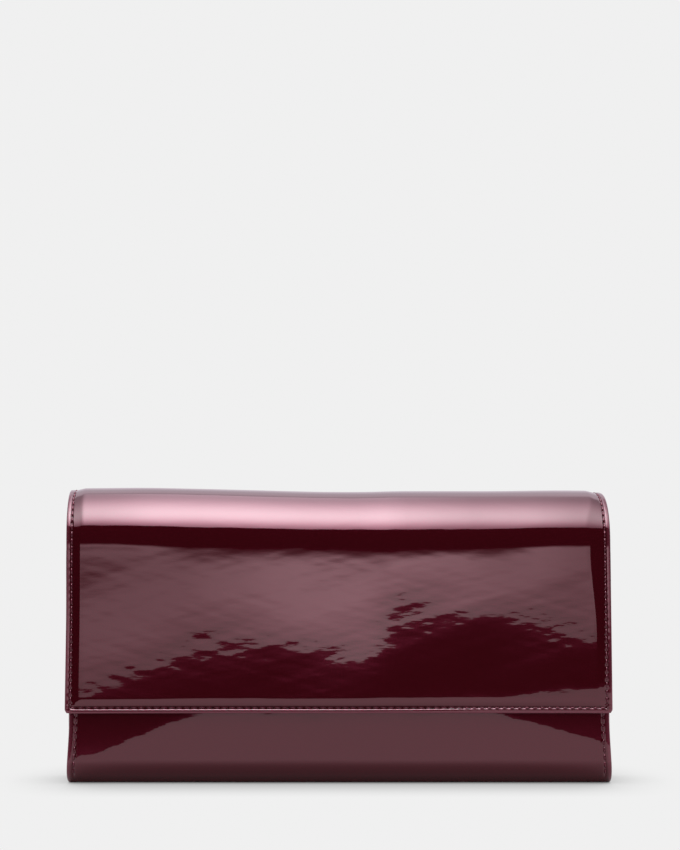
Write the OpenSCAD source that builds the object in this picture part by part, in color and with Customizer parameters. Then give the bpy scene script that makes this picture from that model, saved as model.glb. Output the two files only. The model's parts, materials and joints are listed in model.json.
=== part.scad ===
// Long flap wallet, built as the layers and hardware that a leather workshop would assemble.
// It stands on its folded base. X runs along the wallet, the front faces -Y and Z is up.
// The origin is the middle of the base, half-way through the overall depth.

/* [Outside] */
// Width of the body across the side seams
body_w = 194; // [188:1:200]
// Width of the flap at its lower edge
flap_w = 195.6; // [194.4:0.2:202]
// Overall depth of the closed wallet
depth = 28; // [27:0.5:30]
// Overall height, from the base to the top of the roll
wallet_h = 105; // [102:1:110]
// Height of the flap's lower edge above the base
flap_drop_z = 27; // [22:1:32]
// Radius of the tight turn at the back of the roll
roll_back_r = 8; // [7:0.5:10]
// Distance of the front wall's top below the flap's hinge lines
front_drop = 4; // [4:1:8]

/* [Leather and linings] */
// Thickness of the patent leather skin
skin_t = 1; // [0.9:0.1:1.1]
// Thickness of the flap's stiffening board
flap_board_t = 0.8; // [0.7:0.1:0.8]
// Thickness of the lining inside the flap
flap_lining_t = 0.5; // [0.4:0.1:0.5]
// Thickness of the lining inside the walls
wall_lining_t = 0.4; // [0.3:0.1:0.4]
// Thickness of one card slot layer
card_t = 0.5; // [0.4:0.05:0.5]

/* [Card slots] */
// Number of card slot rows on the rear panel
rear_rows = 4; // [2:1:4]
// Number of card slot rows on the front panel
front_rows = 3; // [2:1:3]
// Height that each row shows above the row in front of it
row_step = 9; // [8:0.5:11]

/* [Stitching] */
// Distance from one stitch to the next
stitch_pitch = 2.7; // [2.5:0.1:3.2]
// Visible length of one stitch
stitch_len = 2; // [1.6:0.1:2.2]
// Distance from a leather edge to its stitch line
seam_inset = 2.1; // [1.8:0.1:2.4]

/* [Coin pocket zip] */
// Distance from one zip tooth to the next on the same side
tooth_pitch = 2; // [1.8:0.1:2.4]
// Travel of the zip slider
zip_travel = 146; // [100:1:146]

/* [Hidden] */

eps = 0.01;                            // overcut of a cutting solid
half_w = body_w / 2;
flap_half = flap_w / 2;
half_d = depth / 2;

// The roll over the top: a tight turn at the back and a slow one at the front
hinge_gap = 0.3;                       // gap in the skin at each flap hinge line
crest_y = half_d - roll_back_r;        // the roll's highest line
roll_front_r = depth - roll_back_r;
roll_back_z = wallet_h - roll_back_r;
roll_front_z = wallet_h - roll_front_r;
hinge_z = roll_front_z - 1;
front_h = hinge_z - front_drop;        // top of the front wall

// Layers of the back wall, from the outside in
board_back_t = 0.6;
y_back_board = half_d - skin_t;
y_back_lining = y_back_board - board_back_t;
y_back_inner = y_back_lining - wall_lining_t;
slip_gap = 0.3;                        // slip pocket behind each card panel
card_panel_t = 0.4;
y_rear_panel = y_back_inner - slip_gap;
y_rear_strips = y_rear_panel - card_panel_t;

// Layers of the flap and the front wall, from the outside in
y_flap_board = -half_d + skin_t;
y_flap_lining = y_flap_board + flap_board_t;
y_flap_inner = y_flap_lining + flap_lining_t;
flap_clear = 0.4;                      // gap between the closed flap and the front wall
y_front = y_flap_inner + flap_clear;
board_front_t = 0.7;
y_front_board = y_front + skin_t;
y_front_lining = y_front_board + board_front_t;
y_front_inner = y_front_lining + wall_lining_t;
front_slip_gap = 0.2;
y_front_panel = y_front_inner + front_slip_gap;
y_front_strips = y_front_panel + card_panel_t;

// The base and the turns into the two walls
rear_turn_r = 4;
front_turn_r = 8;
front_open_deg = 12;                   // how far the front wall leans open
turn_gap_deg = front_open_deg + 3;     // arc left out of the front turn for that motion
open_y = y_front + front_turn_r;       // axis that the front wall and the coin pocket lean about
open_z = front_turn_r;
base_board_t = 0.6;
z_base_top = skin_t + base_board_t + wall_lining_t;

// Borders of the hidden boards inside the linings
seam_border = 4.5;
lining_back_set = 0.6;                 // how far a lining stops short of its skin's edge
board_half = half_w - seam_border;

// Card panels
card_half = 88.5;
panel_top_gap = 2;                     // panel top below the wall top
first_row_drop = 8;                    // first row's mouth below the panel top
panel_lip = 1.5;                       // width of the lips that hold a panel off its lining

// Seams
groove_w = 0.9;
groove_d = 0.5;
thread_w = 0.8;
thread_t = 0.45;
shallow_groove_d = 0.3;
shallow_thread_t = 0.25;
seam_x = half_w - seam_inset;

// Coin pocket
pocket_wall_t = 0.6;
coin_space = 5;
pocket_y = (y_rear_strips - rear_rows * card_t + y_front_strips + front_rows * card_t) / 2;
y_pocket_rear = pocket_y + coin_space / 2;
y_pocket_front = pocket_y - coin_space / 2;
pocket_half = zip_travel / 2 + 11;
pocket_z = 4;
pocket_top = front_h - 2;
flange_t = 0.6;
flange_end = half_w - 3.6;

// Gussets
pleat_in = 11;                         // fold line, inward from the side edge
pleat_out = 1.8;                       // sewn edge, inward from the side edge
pleat_x_t = 1.04;                      // leaf thickness measured along X
gusset_low = 5;
gusset_top = front_h - 0.5;

// Zip
tape_t = 0.5;
tooth_len = 1.1;
tooth_w = 1.25;
tooth_h = 1.6;
tooth_gap = 0.5;                       // slot between the rows that the slider's neck runs in
teeth_half = zip_travel / 2 + 7;
z_tape = pocket_top;
z_tooth = z_tape - 0.4;
welt_w = 0.8;
welt_h = 0.7;
slider_x = zip_travel / 2 + 1;          // slider's place with the zip shut
slider_l = 8;
slider_w = 3.8;
slider_plate_t = 0.7;
slider_clear = 0.3;
z_slider_top = z_tooth + tooth_h + slider_clear;
bail_w = 1;
bail_l = 5.2;
bail_h = 2.4;
bail_hole_l = 3.2;
bail_hole_h = 1.4;
pivot_r = 0.45;
pivot_z = z_slider_top + slider_plate_t + 0.95;
link_l = 7;
link_arm_t = 0.6;
link_half = 1.9;
link_h = 1;
tab_l = 11;
tab_half = 3.5;
tab_t = 1.1;
rivet_r = 1.1;

// Magnets
magnet_r = 7.5;
magnet_x = 45;
magnet_z = 42;
magnet_clear = 0.1;

// Small pieces
corner_r = 1.5;                        // rounding of the flap's lower corners
curve_fn = 96;

// ---------- helpers ----------

// A box given by its limits on each axis.
module slab(x, y, z)
  translate([x[0], y[0], z[0]])
    cube([x[1] - x[0], y[1] - y[0], z[1] - z[0]]);

// A box mirrored about the middle in X, given by its half width.
module wide_slab(half, y, z) slab([-half, half], y, z);

// Extrudes a side view, drawn as (Y, Z), along X.
module side_view(half)
  rotate([90, 0, 90]) translate([0, 0, -half]) linear_extrude(height = 2 * half) children();

// Extrudes a front view, drawn as (X, Z), from y[0] to y[1].
module front_view(y)
  translate([0, y[1], 0]) rotate([90, 0, 0]) linear_extrude(height = y[1] - y[0]) children();

module ring(r_out, r_in) difference() {
  circle(r = r_out, $fn = curve_fn);
  circle(r = r_in, $fn = curve_fn);
}

// The part of a ring between two directions, in degrees, less than a half turn apart.
module arc_band(r_out, r_in, from, to) intersection() {
  ring(r_out, r_in);
  polygon([
    [0, 0],
    2 * r_out * [cos(from), sin(from)],
    2 * r_out * [cos((from + to) / 2), sin((from + to) / 2)],
    2 * r_out * [cos(to), sin(to)]
  ]);
}

// Middles of the stitches that fit between two ends, spread evenly about the middle.
function stitch_places(from, to) =
  let (n = floor((to - from - stitch_len) / stitch_pitch), mid = (from + to) / 2)
  [for (i = [0:n]) mid + (i - n / 2) * stitch_pitch];

// Upright rows of stitches that lie flush in the face at y_face; side is +1 when the face looks along +Y.
module upright_stitches(x_places, y_face, side, z, t)
  for (x = x_places, zc = stitch_places(z[0], z[1]))
    translate([x, y_face - side * t / 2, zc])
      cube([thread_w, t, stitch_len], center = true);

module upright_grooves(x_places, y_face, z, d)
  for (x = x_places)
    slab([x - groove_w / 2, x + groove_w / 2], [y_face - d, y_face + d], z);

// A lining with a raised border that closes the edge around a hidden board.
module tray(half, z, plate_y, rim_y, board_half_w, board_z) difference() {
  wide_slab(half, [min(plate_y[0], rim_y[0]), max(plate_y[1], rim_y[1])], z);
  wide_slab(board_half_w, [rim_y[0] - (rim_y[0] < plate_y[0] ? eps : 0),
                           rim_y[1] + (rim_y[1] > plate_y[1] ? eps : 0)], board_z);
}

// ---------- back body ----------

back_board_z = [6, hinge_z - 4];
back_seam_z = [8, hinge_z - 2];

module cover_back() color("#4a0a16") difference() {
  side_view(half_w) {
    translate([y_back_board, rear_turn_r])
      square([skin_t, hinge_z - hinge_gap / 2 - rear_turn_r]);
    translate([half_d - rear_turn_r, rear_turn_r])
      arc_band(rear_turn_r, rear_turn_r - skin_t, -90, 0);
    translate([open_y, 0])
      square([half_d - rear_turn_r - open_y, skin_t]);
  }
  upright_grooves([-seam_x, seam_x], half_d, back_seam_z, groove_d);
}

module board_back() color("#8a6a4a")
  wide_slab(board_half, [y_back_lining, y_back_board], back_board_z);

module board_base() color("#8a6a4a")
  wide_slab(board_half, [open_y + 1, half_d - rear_turn_r], [skin_t, skin_t + base_board_t]);

module lining_back() color("#5a1a26")
  tray(half_w - lining_back_set, [rear_turn_r, hinge_z - 1],
       [y_back_inner, y_back_lining], [y_back_lining, y_back_board], board_half, back_board_z);

module lining_base() color("#5a1a26")
  wide_slab(board_half, [open_y + 1, half_d - rear_turn_r - 1], [skin_t + base_board_t, z_base_top]);

rear_panel_top = hinge_z - panel_top_gap;

// A card panel and the lips that hold it off the lining; inner is its face towards the lining.
module card_panel(y_panel, lip_y, top) {
  wide_slab(card_half, y_panel, [z_base_top, top]);
  for (s = [-1, 1])
    slab([s * card_half - (s > 0 ? panel_lip : 0), s * card_half + (s > 0 ? 0 : panel_lip)],
         lip_y, [z_base_top + 3, top]);
  wide_slab(card_half, lip_y, [z_base_top + 3, z_base_top + 3 + panel_lip]);
}

module rear_card_panel() color("#6b2433")
  card_panel([y_rear_strips, y_rear_panel], [y_rear_panel, y_back_inner], rear_panel_top);

function row_top(panel_top, row) = panel_top - first_row_drop - (row - 1) * row_step;

// The height that shows of one row, from the next row's mouth up to its own.
function row_shows(panel_top, row, rows) =
  [row == rows ? z_base_top + 4 : row_top(panel_top, row + 1) + 0.5, row_top(panel_top, row) - 0.5];

module rear_card_strip(row) color("#6b2433") if (row <= rear_rows) {
  y_out = y_rear_strips - (row - 1) * card_t;
  difference() {
    wide_slab(card_half, [y_out - card_t, y_out], [z_base_top, row_top(rear_panel_top, row)]);
    upright_grooves([0], y_out - card_t, row_shows(rear_panel_top, row, rear_rows), shallow_groove_d);
  }
}

module rear_divider_stitching() color("#7a3040")
  for (row = [1:rear_rows])
    upright_stitches([0], y_rear_strips - row * card_t, -1,
                     row_shows(rear_panel_top, row, rear_rows), shallow_thread_t);

// Folded path of a side gusset, from the back wall to the front wall, as (X, Y).
gusset_path = [
  [half_w - pleat_out, y_back_inner - 0.1],
  [half_w - pleat_in, (y_rear_strips - rear_rows * card_t + y_pocket_rear + pocket_wall_t) / 2],
  [half_w - pleat_out, pocket_y],
  [half_w - pleat_in, (y_front_strips + front_rows * card_t + y_pocket_front - pocket_wall_t) / 2],
  [half_w - pleat_out, y_front_inner + 0.1]
];

module gusset(side) color("#5a1a26") mirror([side < 0 ? 1 : 0, 0, 0])
  translate([0, 0, gusset_low]) linear_extrude(height = gusset_top - gusset_low)
    polygon(concat(
      [for (p = gusset_path) p + [pleat_x_t / 2, 0]],
      [for (i = [4:-1:0]) gusset_path[i] - [pleat_x_t / 2, 0]]
    ));

module stitching_back() color("#6a2030")
  upright_stitches([-seam_x, seam_x], half_d - (groove_d - thread_t), 1, back_seam_z, thread_t);

// ---------- front body ----------

front_board_z = [9, front_h - 2.4];
front_seam_z = [front_turn_r, front_h - 1.5];

module cover_front() color("#4a0a16") difference() {
  side_view(half_w) {
    translate([y_front, front_turn_r])
      square([skin_t, front_h - front_turn_r]);
    translate([open_y, open_z])
      arc_band(front_turn_r, front_turn_r - skin_t, 180, 270 - turn_gap_deg);
  }
  upright_grooves([-seam_x, seam_x], y_front, front_seam_z, groove_d);
}

module magnet_discs(y, clear)
  for (s = [-1, 1])
    translate([s * magnet_x, y[1], magnet_z]) rotate([90, 0, 0])
      cylinder(r = magnet_r + clear, h = y[1] - y[0], $fn = curve_fn);

module board_front() color("#8a6a4a") difference() {
  wide_slab(board_half, [y_front_board, y_front_lining], front_board_z);
  magnet_discs([y_front_board - eps, y_front_lining + eps], magnet_clear);
}

module lining_front() color("#5a1a26")
  tray(half_w - lining_back_set, [front_turn_r, front_h - 0.4],
       [y_front_lining, y_front_inner], [y_front_board, y_front_lining], board_half, front_board_z);

module front_magnets() color("#9a9a9e") magnet_discs([y_front_board, y_front_lining], 0);

front_panel_top = front_h - panel_top_gap;

module front_card_panel() color("#6b2433") difference() {
  card_panel([y_front_panel, y_front_strips], [y_front_inner, y_front_panel], front_panel_top);
  wide_slab(card_half + 1, [y_front_inner - 1, y_front_strips + 1], [0, open_z]);
}

module front_card_strip(row) color("#6b2433") if (row <= front_rows) {
  y_in = y_front_strips + (row - 1) * card_t;
  difference() {
    wide_slab(card_half, [y_in, y_in + card_t], [open_z, row_top(front_panel_top, row)]);
    upright_grooves([0], y_in + card_t, row_shows(front_panel_top, row, front_rows), shallow_groove_d);
  }
}

module front_divider_stitching() color("#7a3040")
  for (row = [1:front_rows])
    upright_stitches([0], y_front_strips + row * card_t, 1,
                     row_shows(front_panel_top, row, front_rows), shallow_thread_t);

module stitching_front() color("#6a2030")
  upright_stitches([-seam_x, seam_x], y_front + (groove_d - thread_t), -1, front_seam_z, thread_t);

// ---------- coin pocket ----------

module pocket_wall_rear() color("#6b2433")
  wide_slab(pocket_half, [y_pocket_rear, y_pocket_rear + pocket_wall_t], [pocket_z, pocket_top]);

module pocket_wall_front() color("#6b2433")
  wide_slab(pocket_half, [y_pocket_front - pocket_wall_t, y_pocket_front], [pocket_z, pocket_top]);

module pocket_base() color("#6b2433")
  wide_slab(pocket_half, [y_pocket_front, y_pocket_rear], [pocket_z, pocket_z + pocket_wall_t]);

// End of the coin pocket, with the flange that is sewn to the middle ridge of the gusset.
module pocket_end(side) color("#6b2433") mirror([side < 0 ? 1 : 0, 0, 0]) {
  slab([pocket_half, pocket_half + pocket_wall_t],
       [y_pocket_front - pocket_wall_t, y_pocket_rear + pocket_wall_t], [pocket_z, pocket_top]);
  slab([pocket_half + pocket_wall_t, flange_end],
       [pocket_y - flange_t / 2, pocket_y + flange_t / 2], [pocket_z, pocket_top]);
}

// One side of the zip; side is +1 for the rear row. Children get the Y limits mirrored about the zip.
function zip_y(side, near, far) =
  side > 0 ? [pocket_y + near, pocket_y + far] : [pocket_y - far, pocket_y - near];

tape_near = tooth_gap / 2 + tooth_w;
tape_far = coin_space / 2 + pocket_wall_t;

module zip_tape(side) color("#4a1420")
  wide_slab(teeth_half + 3, zip_y(side, tape_near, tape_far), [z_tape, z_tape + tape_t]);

module pocket_welt(side) color("#6b2433")
  wide_slab(pocket_half, zip_y(side, tape_far - welt_w, tape_far),
            [z_tape + tape_t, z_tape + tape_t + welt_h]);

module zip_teeth(side) color("#c8a050") {
  n = floor((2 * teeth_half - 2 * tooth_pitch) / tooth_pitch);
  shift = side > 0 ? 0 : tooth_pitch / 2;
  for (i = [0:n - 1]) {
    x = -teeth_half + tooth_pitch + i * tooth_pitch + shift;
    slab([x - tooth_len / 2, x + tooth_len / 2], zip_y(side, tooth_gap / 2, tape_near),
         [z_tooth, z_tooth + tooth_h]);
  }
}

module zip_stops() color("#c8a050")
  for (s = [-1, 1], side = [-1, 1])
    slab([s * (teeth_half + 1.4) - 0.8, s * (teeth_half + 1.4) + 0.8],
         zip_y(side, tooth_gap / 2, tape_near), [z_tooth, z_tooth + tooth_h]);

// ---------- zip slider and puller ----------

module zip_slider_body() color("#c8a050") {
  y = [pocket_y - slider_w / 2, pocket_y + slider_w / 2];
  z_low = z_tooth - slider_clear - slider_plate_t;
  difference() {
    slab([slider_x - slider_l / 2, slider_x + slider_l / 2], y,
         [z_slider_top - 0.7, z_slider_top + slider_plate_t]);
    slab([slider_x - slider_l, slider_x + slider_l], [y[0] + 0.3, y[1] - 0.3],
         [z_slider_top - 1, z_slider_top]);
  }
  slab([slider_x - slider_l / 2, slider_x + slider_l / 2], y, [z_low, z_low + slider_plate_t]);
  slab([slider_x + 1, slider_x + 2.5], [pocket_y - 0.15, pocket_y + 0.15],
       [z_low + slider_plate_t - eps, z_slider_top + eps]);
}

module zip_slider_bail() color("#c8a050") {
  z = z_slider_top + slider_plate_t;
  front_view([pocket_y - bail_w / 2, pocket_y + bail_w / 2]) difference() {
    translate([slider_x - bail_l / 2, z]) square([bail_l, bail_h]);
    translate([slider_x - bail_hole_l / 2, pivot_z - bail_hole_h / 2 - 0.1])
      square([bail_hole_l, bail_hole_h + 0.2]);
  }
}

module puller_link() color("#c8a050") {
  x_end = slider_x - link_l;
  translate([slider_x, pocket_y - link_half, pivot_z]) rotate([-90, 0, 0])
    cylinder(r = pivot_r, h = 2 * link_half, $fn = 32);
  for (s = [-1, 1])
    slab([x_end, slider_x + pivot_r],
         [pocket_y + s * (link_half - link_arm_t / 2) - link_arm_t / 2,
          pocket_y + s * (link_half - link_arm_t / 2) + link_arm_t / 2],
         [pivot_z - link_h / 2, pivot_z + link_h / 2]);
  slab([x_end - 1, x_end], [pocket_y - link_half, pocket_y + link_half],
       [pivot_z - link_h / 2, pivot_z + link_h / 2]);
}

tab_x = slider_x - link_l + 1.2;        // end of the tab nearest the slider

module puller_tab() color("#4a0a16") {
  // The tab wraps the link's end bar and is folded back on itself.
  y = [pocket_y - tab_half, pocket_y + tab_half];
  difference() {
    slab([tab_x - tab_l, tab_x], [pocket_y - link_half + link_arm_t + 0.05,
                                  pocket_y + link_half - link_arm_t - 0.05],
         [pivot_z - tab_t, pivot_z + tab_t]);
    slab([tab_x - 2.25, tab_x - 1.15], y, [pivot_z - link_h / 2 - 0.05, pivot_z + link_h / 2 + 0.05]);
    tab_rivet_hole();
  }
  difference() {
    slab([tab_x - tab_l, tab_x - 2.3], y, [pivot_z - tab_t, pivot_z + tab_t]);
    slab([tab_x - 3, tab_x + 1], [y[0] - 1, y[1] + 1], [pivot_z - 2 * tab_t, pivot_z + 2 * tab_t]);
    tab_rivet_hole();
  }
}

module tab_rivet_hole()
  translate([tab_x - 5.5, pocket_y, pivot_z - 2 * tab_t])
    cylinder(r = rivet_r, h = 4 * tab_t, $fn = 32);

module puller_rivet() color("#c8a050")
  translate([tab_x - 5.5, pocket_y, pivot_z - tab_t])
    cylinder(r = rivet_r, h = 2 * tab_t, $fn = 32);

// ---------- roll over the top ----------

// Side view of one layer of the roll, between two distances from its outer face.
module roll_layer(outer, inner) {
  z_low = hinge_z + hinge_gap / 2;
  translate([crest_y, roll_back_z]) arc_band(roll_back_r - outer, roll_back_r - inner, 0, 90);
  translate([crest_y, roll_front_z]) arc_band(roll_front_r - outer, roll_front_r - inner, 90, 180);
  translate([half_d - inner, z_low]) square([inner - outer, roll_back_z - z_low]);
  translate([-half_d + outer, z_low]) square([inner - outer, roll_front_z - z_low]);
}

module roll_cover() color("#4a0a16") difference() {
  side_view(half_w) roll_layer(0, skin_t);
  for (s = [-1, 1])
    translate([s * seam_x, 0, 0]) side_view(groove_w / 2) roll_layer(-1, groove_d);
}

// The board covers the two turns only, so that the straight stretch at the back stays free to bend.
module roll_board() color("#8a6a4a") side_view(board_half) {
  translate([crest_y, roll_back_z])
    arc_band(roll_back_r - skin_t, roll_back_r - skin_t - flap_board_t, 0, 90);
  translate([crest_y, roll_front_z])
    arc_band(roll_front_r - skin_t, roll_front_r - skin_t - flap_board_t, 90, 180);
}

module roll_lining() color("#5a1a26") {
  side_view(half_w - lining_back_set)
    roll_layer(skin_t + flap_board_t, skin_t + flap_board_t + flap_lining_t);
  for (s = [-1, 1])
    translate([s * (board_half + half_w - lining_back_set) / 2, 0, 0])
      side_view((half_w - lining_back_set - board_half) / 2)
        roll_layer(skin_t, skin_t + flap_board_t);
}

// Stitches laid round one turn of the roll, from one direction to another, in degrees.
module turn_stitches(r_outer, z, from, to) {
  r = r_outer - groove_d + thread_t / 2;
  n = floor((to - from) / 360 * 2 * PI * r / stitch_pitch);
  step = (to - from) / n;
  for (s = [-1, 1], i = [0:n - 1])
    translate([s * seam_x, crest_y, z]) rotate([from + (i + 0.5) * step, 0, 0])
      translate([0, r, 0]) cube([thread_w, thread_t - 0.1, stitch_len * 0.9], center = true);
}

module stitching_roll() color("#6a2030") {
  turn_stitches(roll_back_r, roll_back_z, 0, 90);
  turn_stitches(roll_front_r, roll_front_z, 90, 180);
  upright_stitches([-seam_x, seam_x], half_d - (groove_d - thread_t), 1,
                   [hinge_z + 0.8, roll_back_z - 0.8], thread_t);
}

// ---------- flap ----------

flap_top = hinge_z - hinge_gap / 2;
flap_board_z = [flap_drop_z + 5, flap_top - 12];
flap_seam_low = flap_drop_z + seam_inset;

// Half width of the flap at a height, because it flares a little towards its lower edge.
function flap_half_at(z) = half_w + (flap_half - half_w) * (flap_top - z) / (flap_top - flap_drop_z);

// Front view of the flap, moved in from its side edges by set.
module flap_outline(set) difference() {
  polygon([
    [-flap_half_at(flap_drop_z) + set, flap_drop_z + set],
    [flap_half_at(flap_drop_z) - set, flap_drop_z + set],
    [half_w - set, flap_top],
    [-half_w + set, flap_top]
  ]);
  for (s = [-1, 1])
    translate([s * (flap_half - set), flap_drop_z + set]) difference() {
      square(2 * corner_r, center = true);
      translate([-s * corner_r, corner_r]) circle(r = corner_r, $fn = curve_fn);
    }
}

// The flap's side seams stand upright, a seam inset inside the edge at the hinge line.
flap_side_seam_z = [flap_seam_low + 0.8, flap_top - 0.8];

module flap_cover() color("#4a0a16") difference() {
  front_view([-half_d, y_flap_board]) flap_outline(0);
  upright_grooves([-seam_x, seam_x], -half_d, flap_side_seam_z, groove_d);
  wide_slab(seam_x, [-half_d - 1, -half_d + groove_d],
            [flap_seam_low - groove_w / 2, flap_seam_low + groove_w / 2]);
}

module flap_board() color("#8a6a4a") difference() {
  wide_slab(board_half, [y_flap_board, y_flap_lining], flap_board_z);
  magnet_discs([y_flap_board - eps, y_flap_lining + eps], magnet_clear);
}

module flap_lining() color("#5a1a26") difference() {
  front_view([y_flap_board, y_flap_inner]) flap_outline(lining_back_set);
  wide_slab(board_half, [y_flap_board - eps, y_flap_lining], flap_board_z);
}

module flap_magnets() color("#9a9a9e") magnet_discs([y_flap_board, y_flap_lining], 0);

module stitching_flap() color("#6a2030") {
  y_face = -half_d + (groove_d - thread_t);
  upright_stitches([-seam_x, seam_x], y_face, -1, flap_side_seam_z, thread_t);
  for (x = stitch_places(-seam_x, seam_x))
    translate([x, y_face + thread_t / 2, flap_seam_low])
      cube([stitch_len, thread_t, thread_w], center = true);
}

// ---------- one node at a time ----------

cover_back();
board_back();
board_base();
lining_back();
lining_base();
rear_card_panel();
rear_card_strip(1);  // rear_card_strip_1
rear_card_strip(2);  // rear_card_strip_2
rear_card_strip(3);  // rear_card_strip_3
rear_card_strip(4);  // rear_card_strip_4
rear_divider_stitching();
gusset(-1);  // gusset_left
gusset(1);  // gusset_right
stitching_back();
cover_front();
board_front();
lining_front();
front_magnets();
front_card_panel();
front_card_strip(1);  // front_card_strip_1
front_card_strip(2);  // front_card_strip_2
front_card_strip(3);  // front_card_strip_3
front_divider_stitching();
stitching_front();
pocket_wall_rear();
pocket_wall_front();
pocket_base();
pocket_end(-1);  // pocket_end_left
pocket_end(1);  // pocket_end_right
pocket_welt(1);  // pocket_welt_rear
pocket_welt(-1);  // pocket_welt_front
zip_tape(1);  // zip_tape_rear
zip_tape(-1);  // zip_tape_front
zip_teeth(1);  // zip_teeth_rear
zip_teeth(-1);  // zip_teeth_front
zip_stops();
zip_slider_body();
zip_slider_bail();
puller_link();
puller_tab();
puller_rivet();
roll_cover();
roll_board();
roll_lining();
stitching_roll();
flap_cover();
flap_board();
flap_lining();
flap_magnets();
stitching_flap();
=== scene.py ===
"""Looks of the long flap wallet: patent leather skins, stitching, linings, card slots and the coin zip."""
import json
import math

import bmesh
import bpy
import numpy as np
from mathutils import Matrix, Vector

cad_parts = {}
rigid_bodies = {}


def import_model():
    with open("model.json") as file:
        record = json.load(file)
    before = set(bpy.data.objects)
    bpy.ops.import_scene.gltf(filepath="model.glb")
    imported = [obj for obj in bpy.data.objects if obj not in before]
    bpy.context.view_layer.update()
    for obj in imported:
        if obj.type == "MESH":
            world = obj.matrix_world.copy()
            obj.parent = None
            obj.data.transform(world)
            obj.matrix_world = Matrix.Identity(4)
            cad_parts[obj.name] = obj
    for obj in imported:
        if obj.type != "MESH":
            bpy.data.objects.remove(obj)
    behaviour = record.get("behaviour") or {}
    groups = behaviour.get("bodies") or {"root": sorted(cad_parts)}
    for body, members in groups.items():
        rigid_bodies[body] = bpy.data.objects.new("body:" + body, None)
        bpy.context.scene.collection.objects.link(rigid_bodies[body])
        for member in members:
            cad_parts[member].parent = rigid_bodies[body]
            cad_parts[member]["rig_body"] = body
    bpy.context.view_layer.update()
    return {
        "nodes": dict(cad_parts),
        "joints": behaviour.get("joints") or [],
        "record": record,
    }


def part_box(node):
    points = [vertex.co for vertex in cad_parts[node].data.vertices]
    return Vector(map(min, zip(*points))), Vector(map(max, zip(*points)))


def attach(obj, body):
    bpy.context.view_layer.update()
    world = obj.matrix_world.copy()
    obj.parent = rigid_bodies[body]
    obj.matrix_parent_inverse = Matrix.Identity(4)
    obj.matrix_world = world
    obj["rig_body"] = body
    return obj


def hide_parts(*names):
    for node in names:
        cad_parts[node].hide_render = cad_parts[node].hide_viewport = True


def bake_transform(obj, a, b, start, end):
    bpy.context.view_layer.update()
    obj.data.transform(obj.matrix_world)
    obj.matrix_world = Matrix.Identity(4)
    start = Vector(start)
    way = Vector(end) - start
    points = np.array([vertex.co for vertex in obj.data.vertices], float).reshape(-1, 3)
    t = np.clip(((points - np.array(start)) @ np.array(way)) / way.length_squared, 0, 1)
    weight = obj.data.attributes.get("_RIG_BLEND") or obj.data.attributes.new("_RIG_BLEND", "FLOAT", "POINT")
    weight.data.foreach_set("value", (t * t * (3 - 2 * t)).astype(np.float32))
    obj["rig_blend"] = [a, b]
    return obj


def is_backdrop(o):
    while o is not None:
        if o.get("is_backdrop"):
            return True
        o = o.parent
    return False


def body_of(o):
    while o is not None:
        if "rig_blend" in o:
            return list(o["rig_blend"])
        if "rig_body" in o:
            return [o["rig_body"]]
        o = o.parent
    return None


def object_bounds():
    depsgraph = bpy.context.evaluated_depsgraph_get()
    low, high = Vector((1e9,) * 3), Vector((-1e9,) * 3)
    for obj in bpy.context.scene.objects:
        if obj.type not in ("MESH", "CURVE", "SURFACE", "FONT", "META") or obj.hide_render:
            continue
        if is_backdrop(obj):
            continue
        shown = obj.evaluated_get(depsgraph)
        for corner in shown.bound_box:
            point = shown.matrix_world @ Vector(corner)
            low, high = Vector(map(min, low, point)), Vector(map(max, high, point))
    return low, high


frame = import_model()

scene = bpy.context.scene
MM = 0.001

# ---------------------------------------------------------------- sizes taken from the frame

flap_low, flap_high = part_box("flap_cover")
roll_low, roll_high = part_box("roll_cover")
back_low, back_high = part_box("cover_back")
front_low, front_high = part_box("cover_front")
joint = {j["name"]: j for j in frame["joints"]}

HALF_BODY = back_high.x
HALF_FLAP = flap_high.x
HALF_DEPTH = roll_high.y
TOP = roll_high.z
HINGE_Z = joint["spine_bend"]["pos_m"][2]
OPEN_Y, OPEN_Z = joint["front_open"]["pos_m"][1:]
FLAP_EDGE_Z = flap_low.z
FRONT_Y = front_low.y
FRONT_TOP = front_high.z

LEATHER = 1.0 * MM
BACK_TURN = 8 * MM                       # radius of the tight turn at the back of the roll
FRONT_TURN = 2 * HALF_DEPTH - BACK_TURN  # radius of the slow turn at the front of the roll
CREST_Y = HALF_DEPTH - BACK_TURN
HEEL = 4 * MM                            # radius between the back wall and the base
TOE = OPEN_Z                             # radius between the front wall and the base

# Stitching
PITCH = 2.7 * MM
SEAM_INSET = 2.0 * MM
FRONT_INSET = 2.4 * MM                   # the front wall's seams stand further in
STITCH_LENGTH = 2.15 * MM
THREAD = 0.29 * MM                       # the thread's radius
STITCH_ARCH = 0.42 * MM                  # how far a stitch's ends dip below its middle
STITCH_LIFT = 0.12 * MM                  # the thread's middle over the bottom of its groove
GROOVE_DEPTH = 0.27 * MM
GROOVE_WIDTH = 0.42 * MM
HOLE_DEPTH = 0.34 * MM
HOLE_LENGTH = 0.38 * MM


# ---------------------------------------------------------------- small helpers

def smooth(t):
    """0 to 1, level at both ends."""
    t = np.clip(t, 0, 1)
    return t * t * (3 - 2 * t)


def link(obj):
    scene.collection.objects.link(obj)
    return obj


def mesh_object(name, verts, faces, material, sharp_deg=50):
    """A smooth-shaded object from points and faces, its faces turned outwards."""
    mesh = bpy.data.meshes.new(name)
    mesh.from_pydata([tuple(v) for v in verts], [], faces)
    b = bmesh.new()
    b.from_mesh(mesh)
    bmesh.ops.recalc_face_normals(b, faces=b.faces)
    b.to_mesh(mesh)
    b.free()
    mesh.shade_smooth()
    mesh.set_sharp_from_angle(angle=math.radians(sharp_deg))
    mesh.materials.append(material)
    return link(bpy.data.objects.new(name, mesh))


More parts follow.
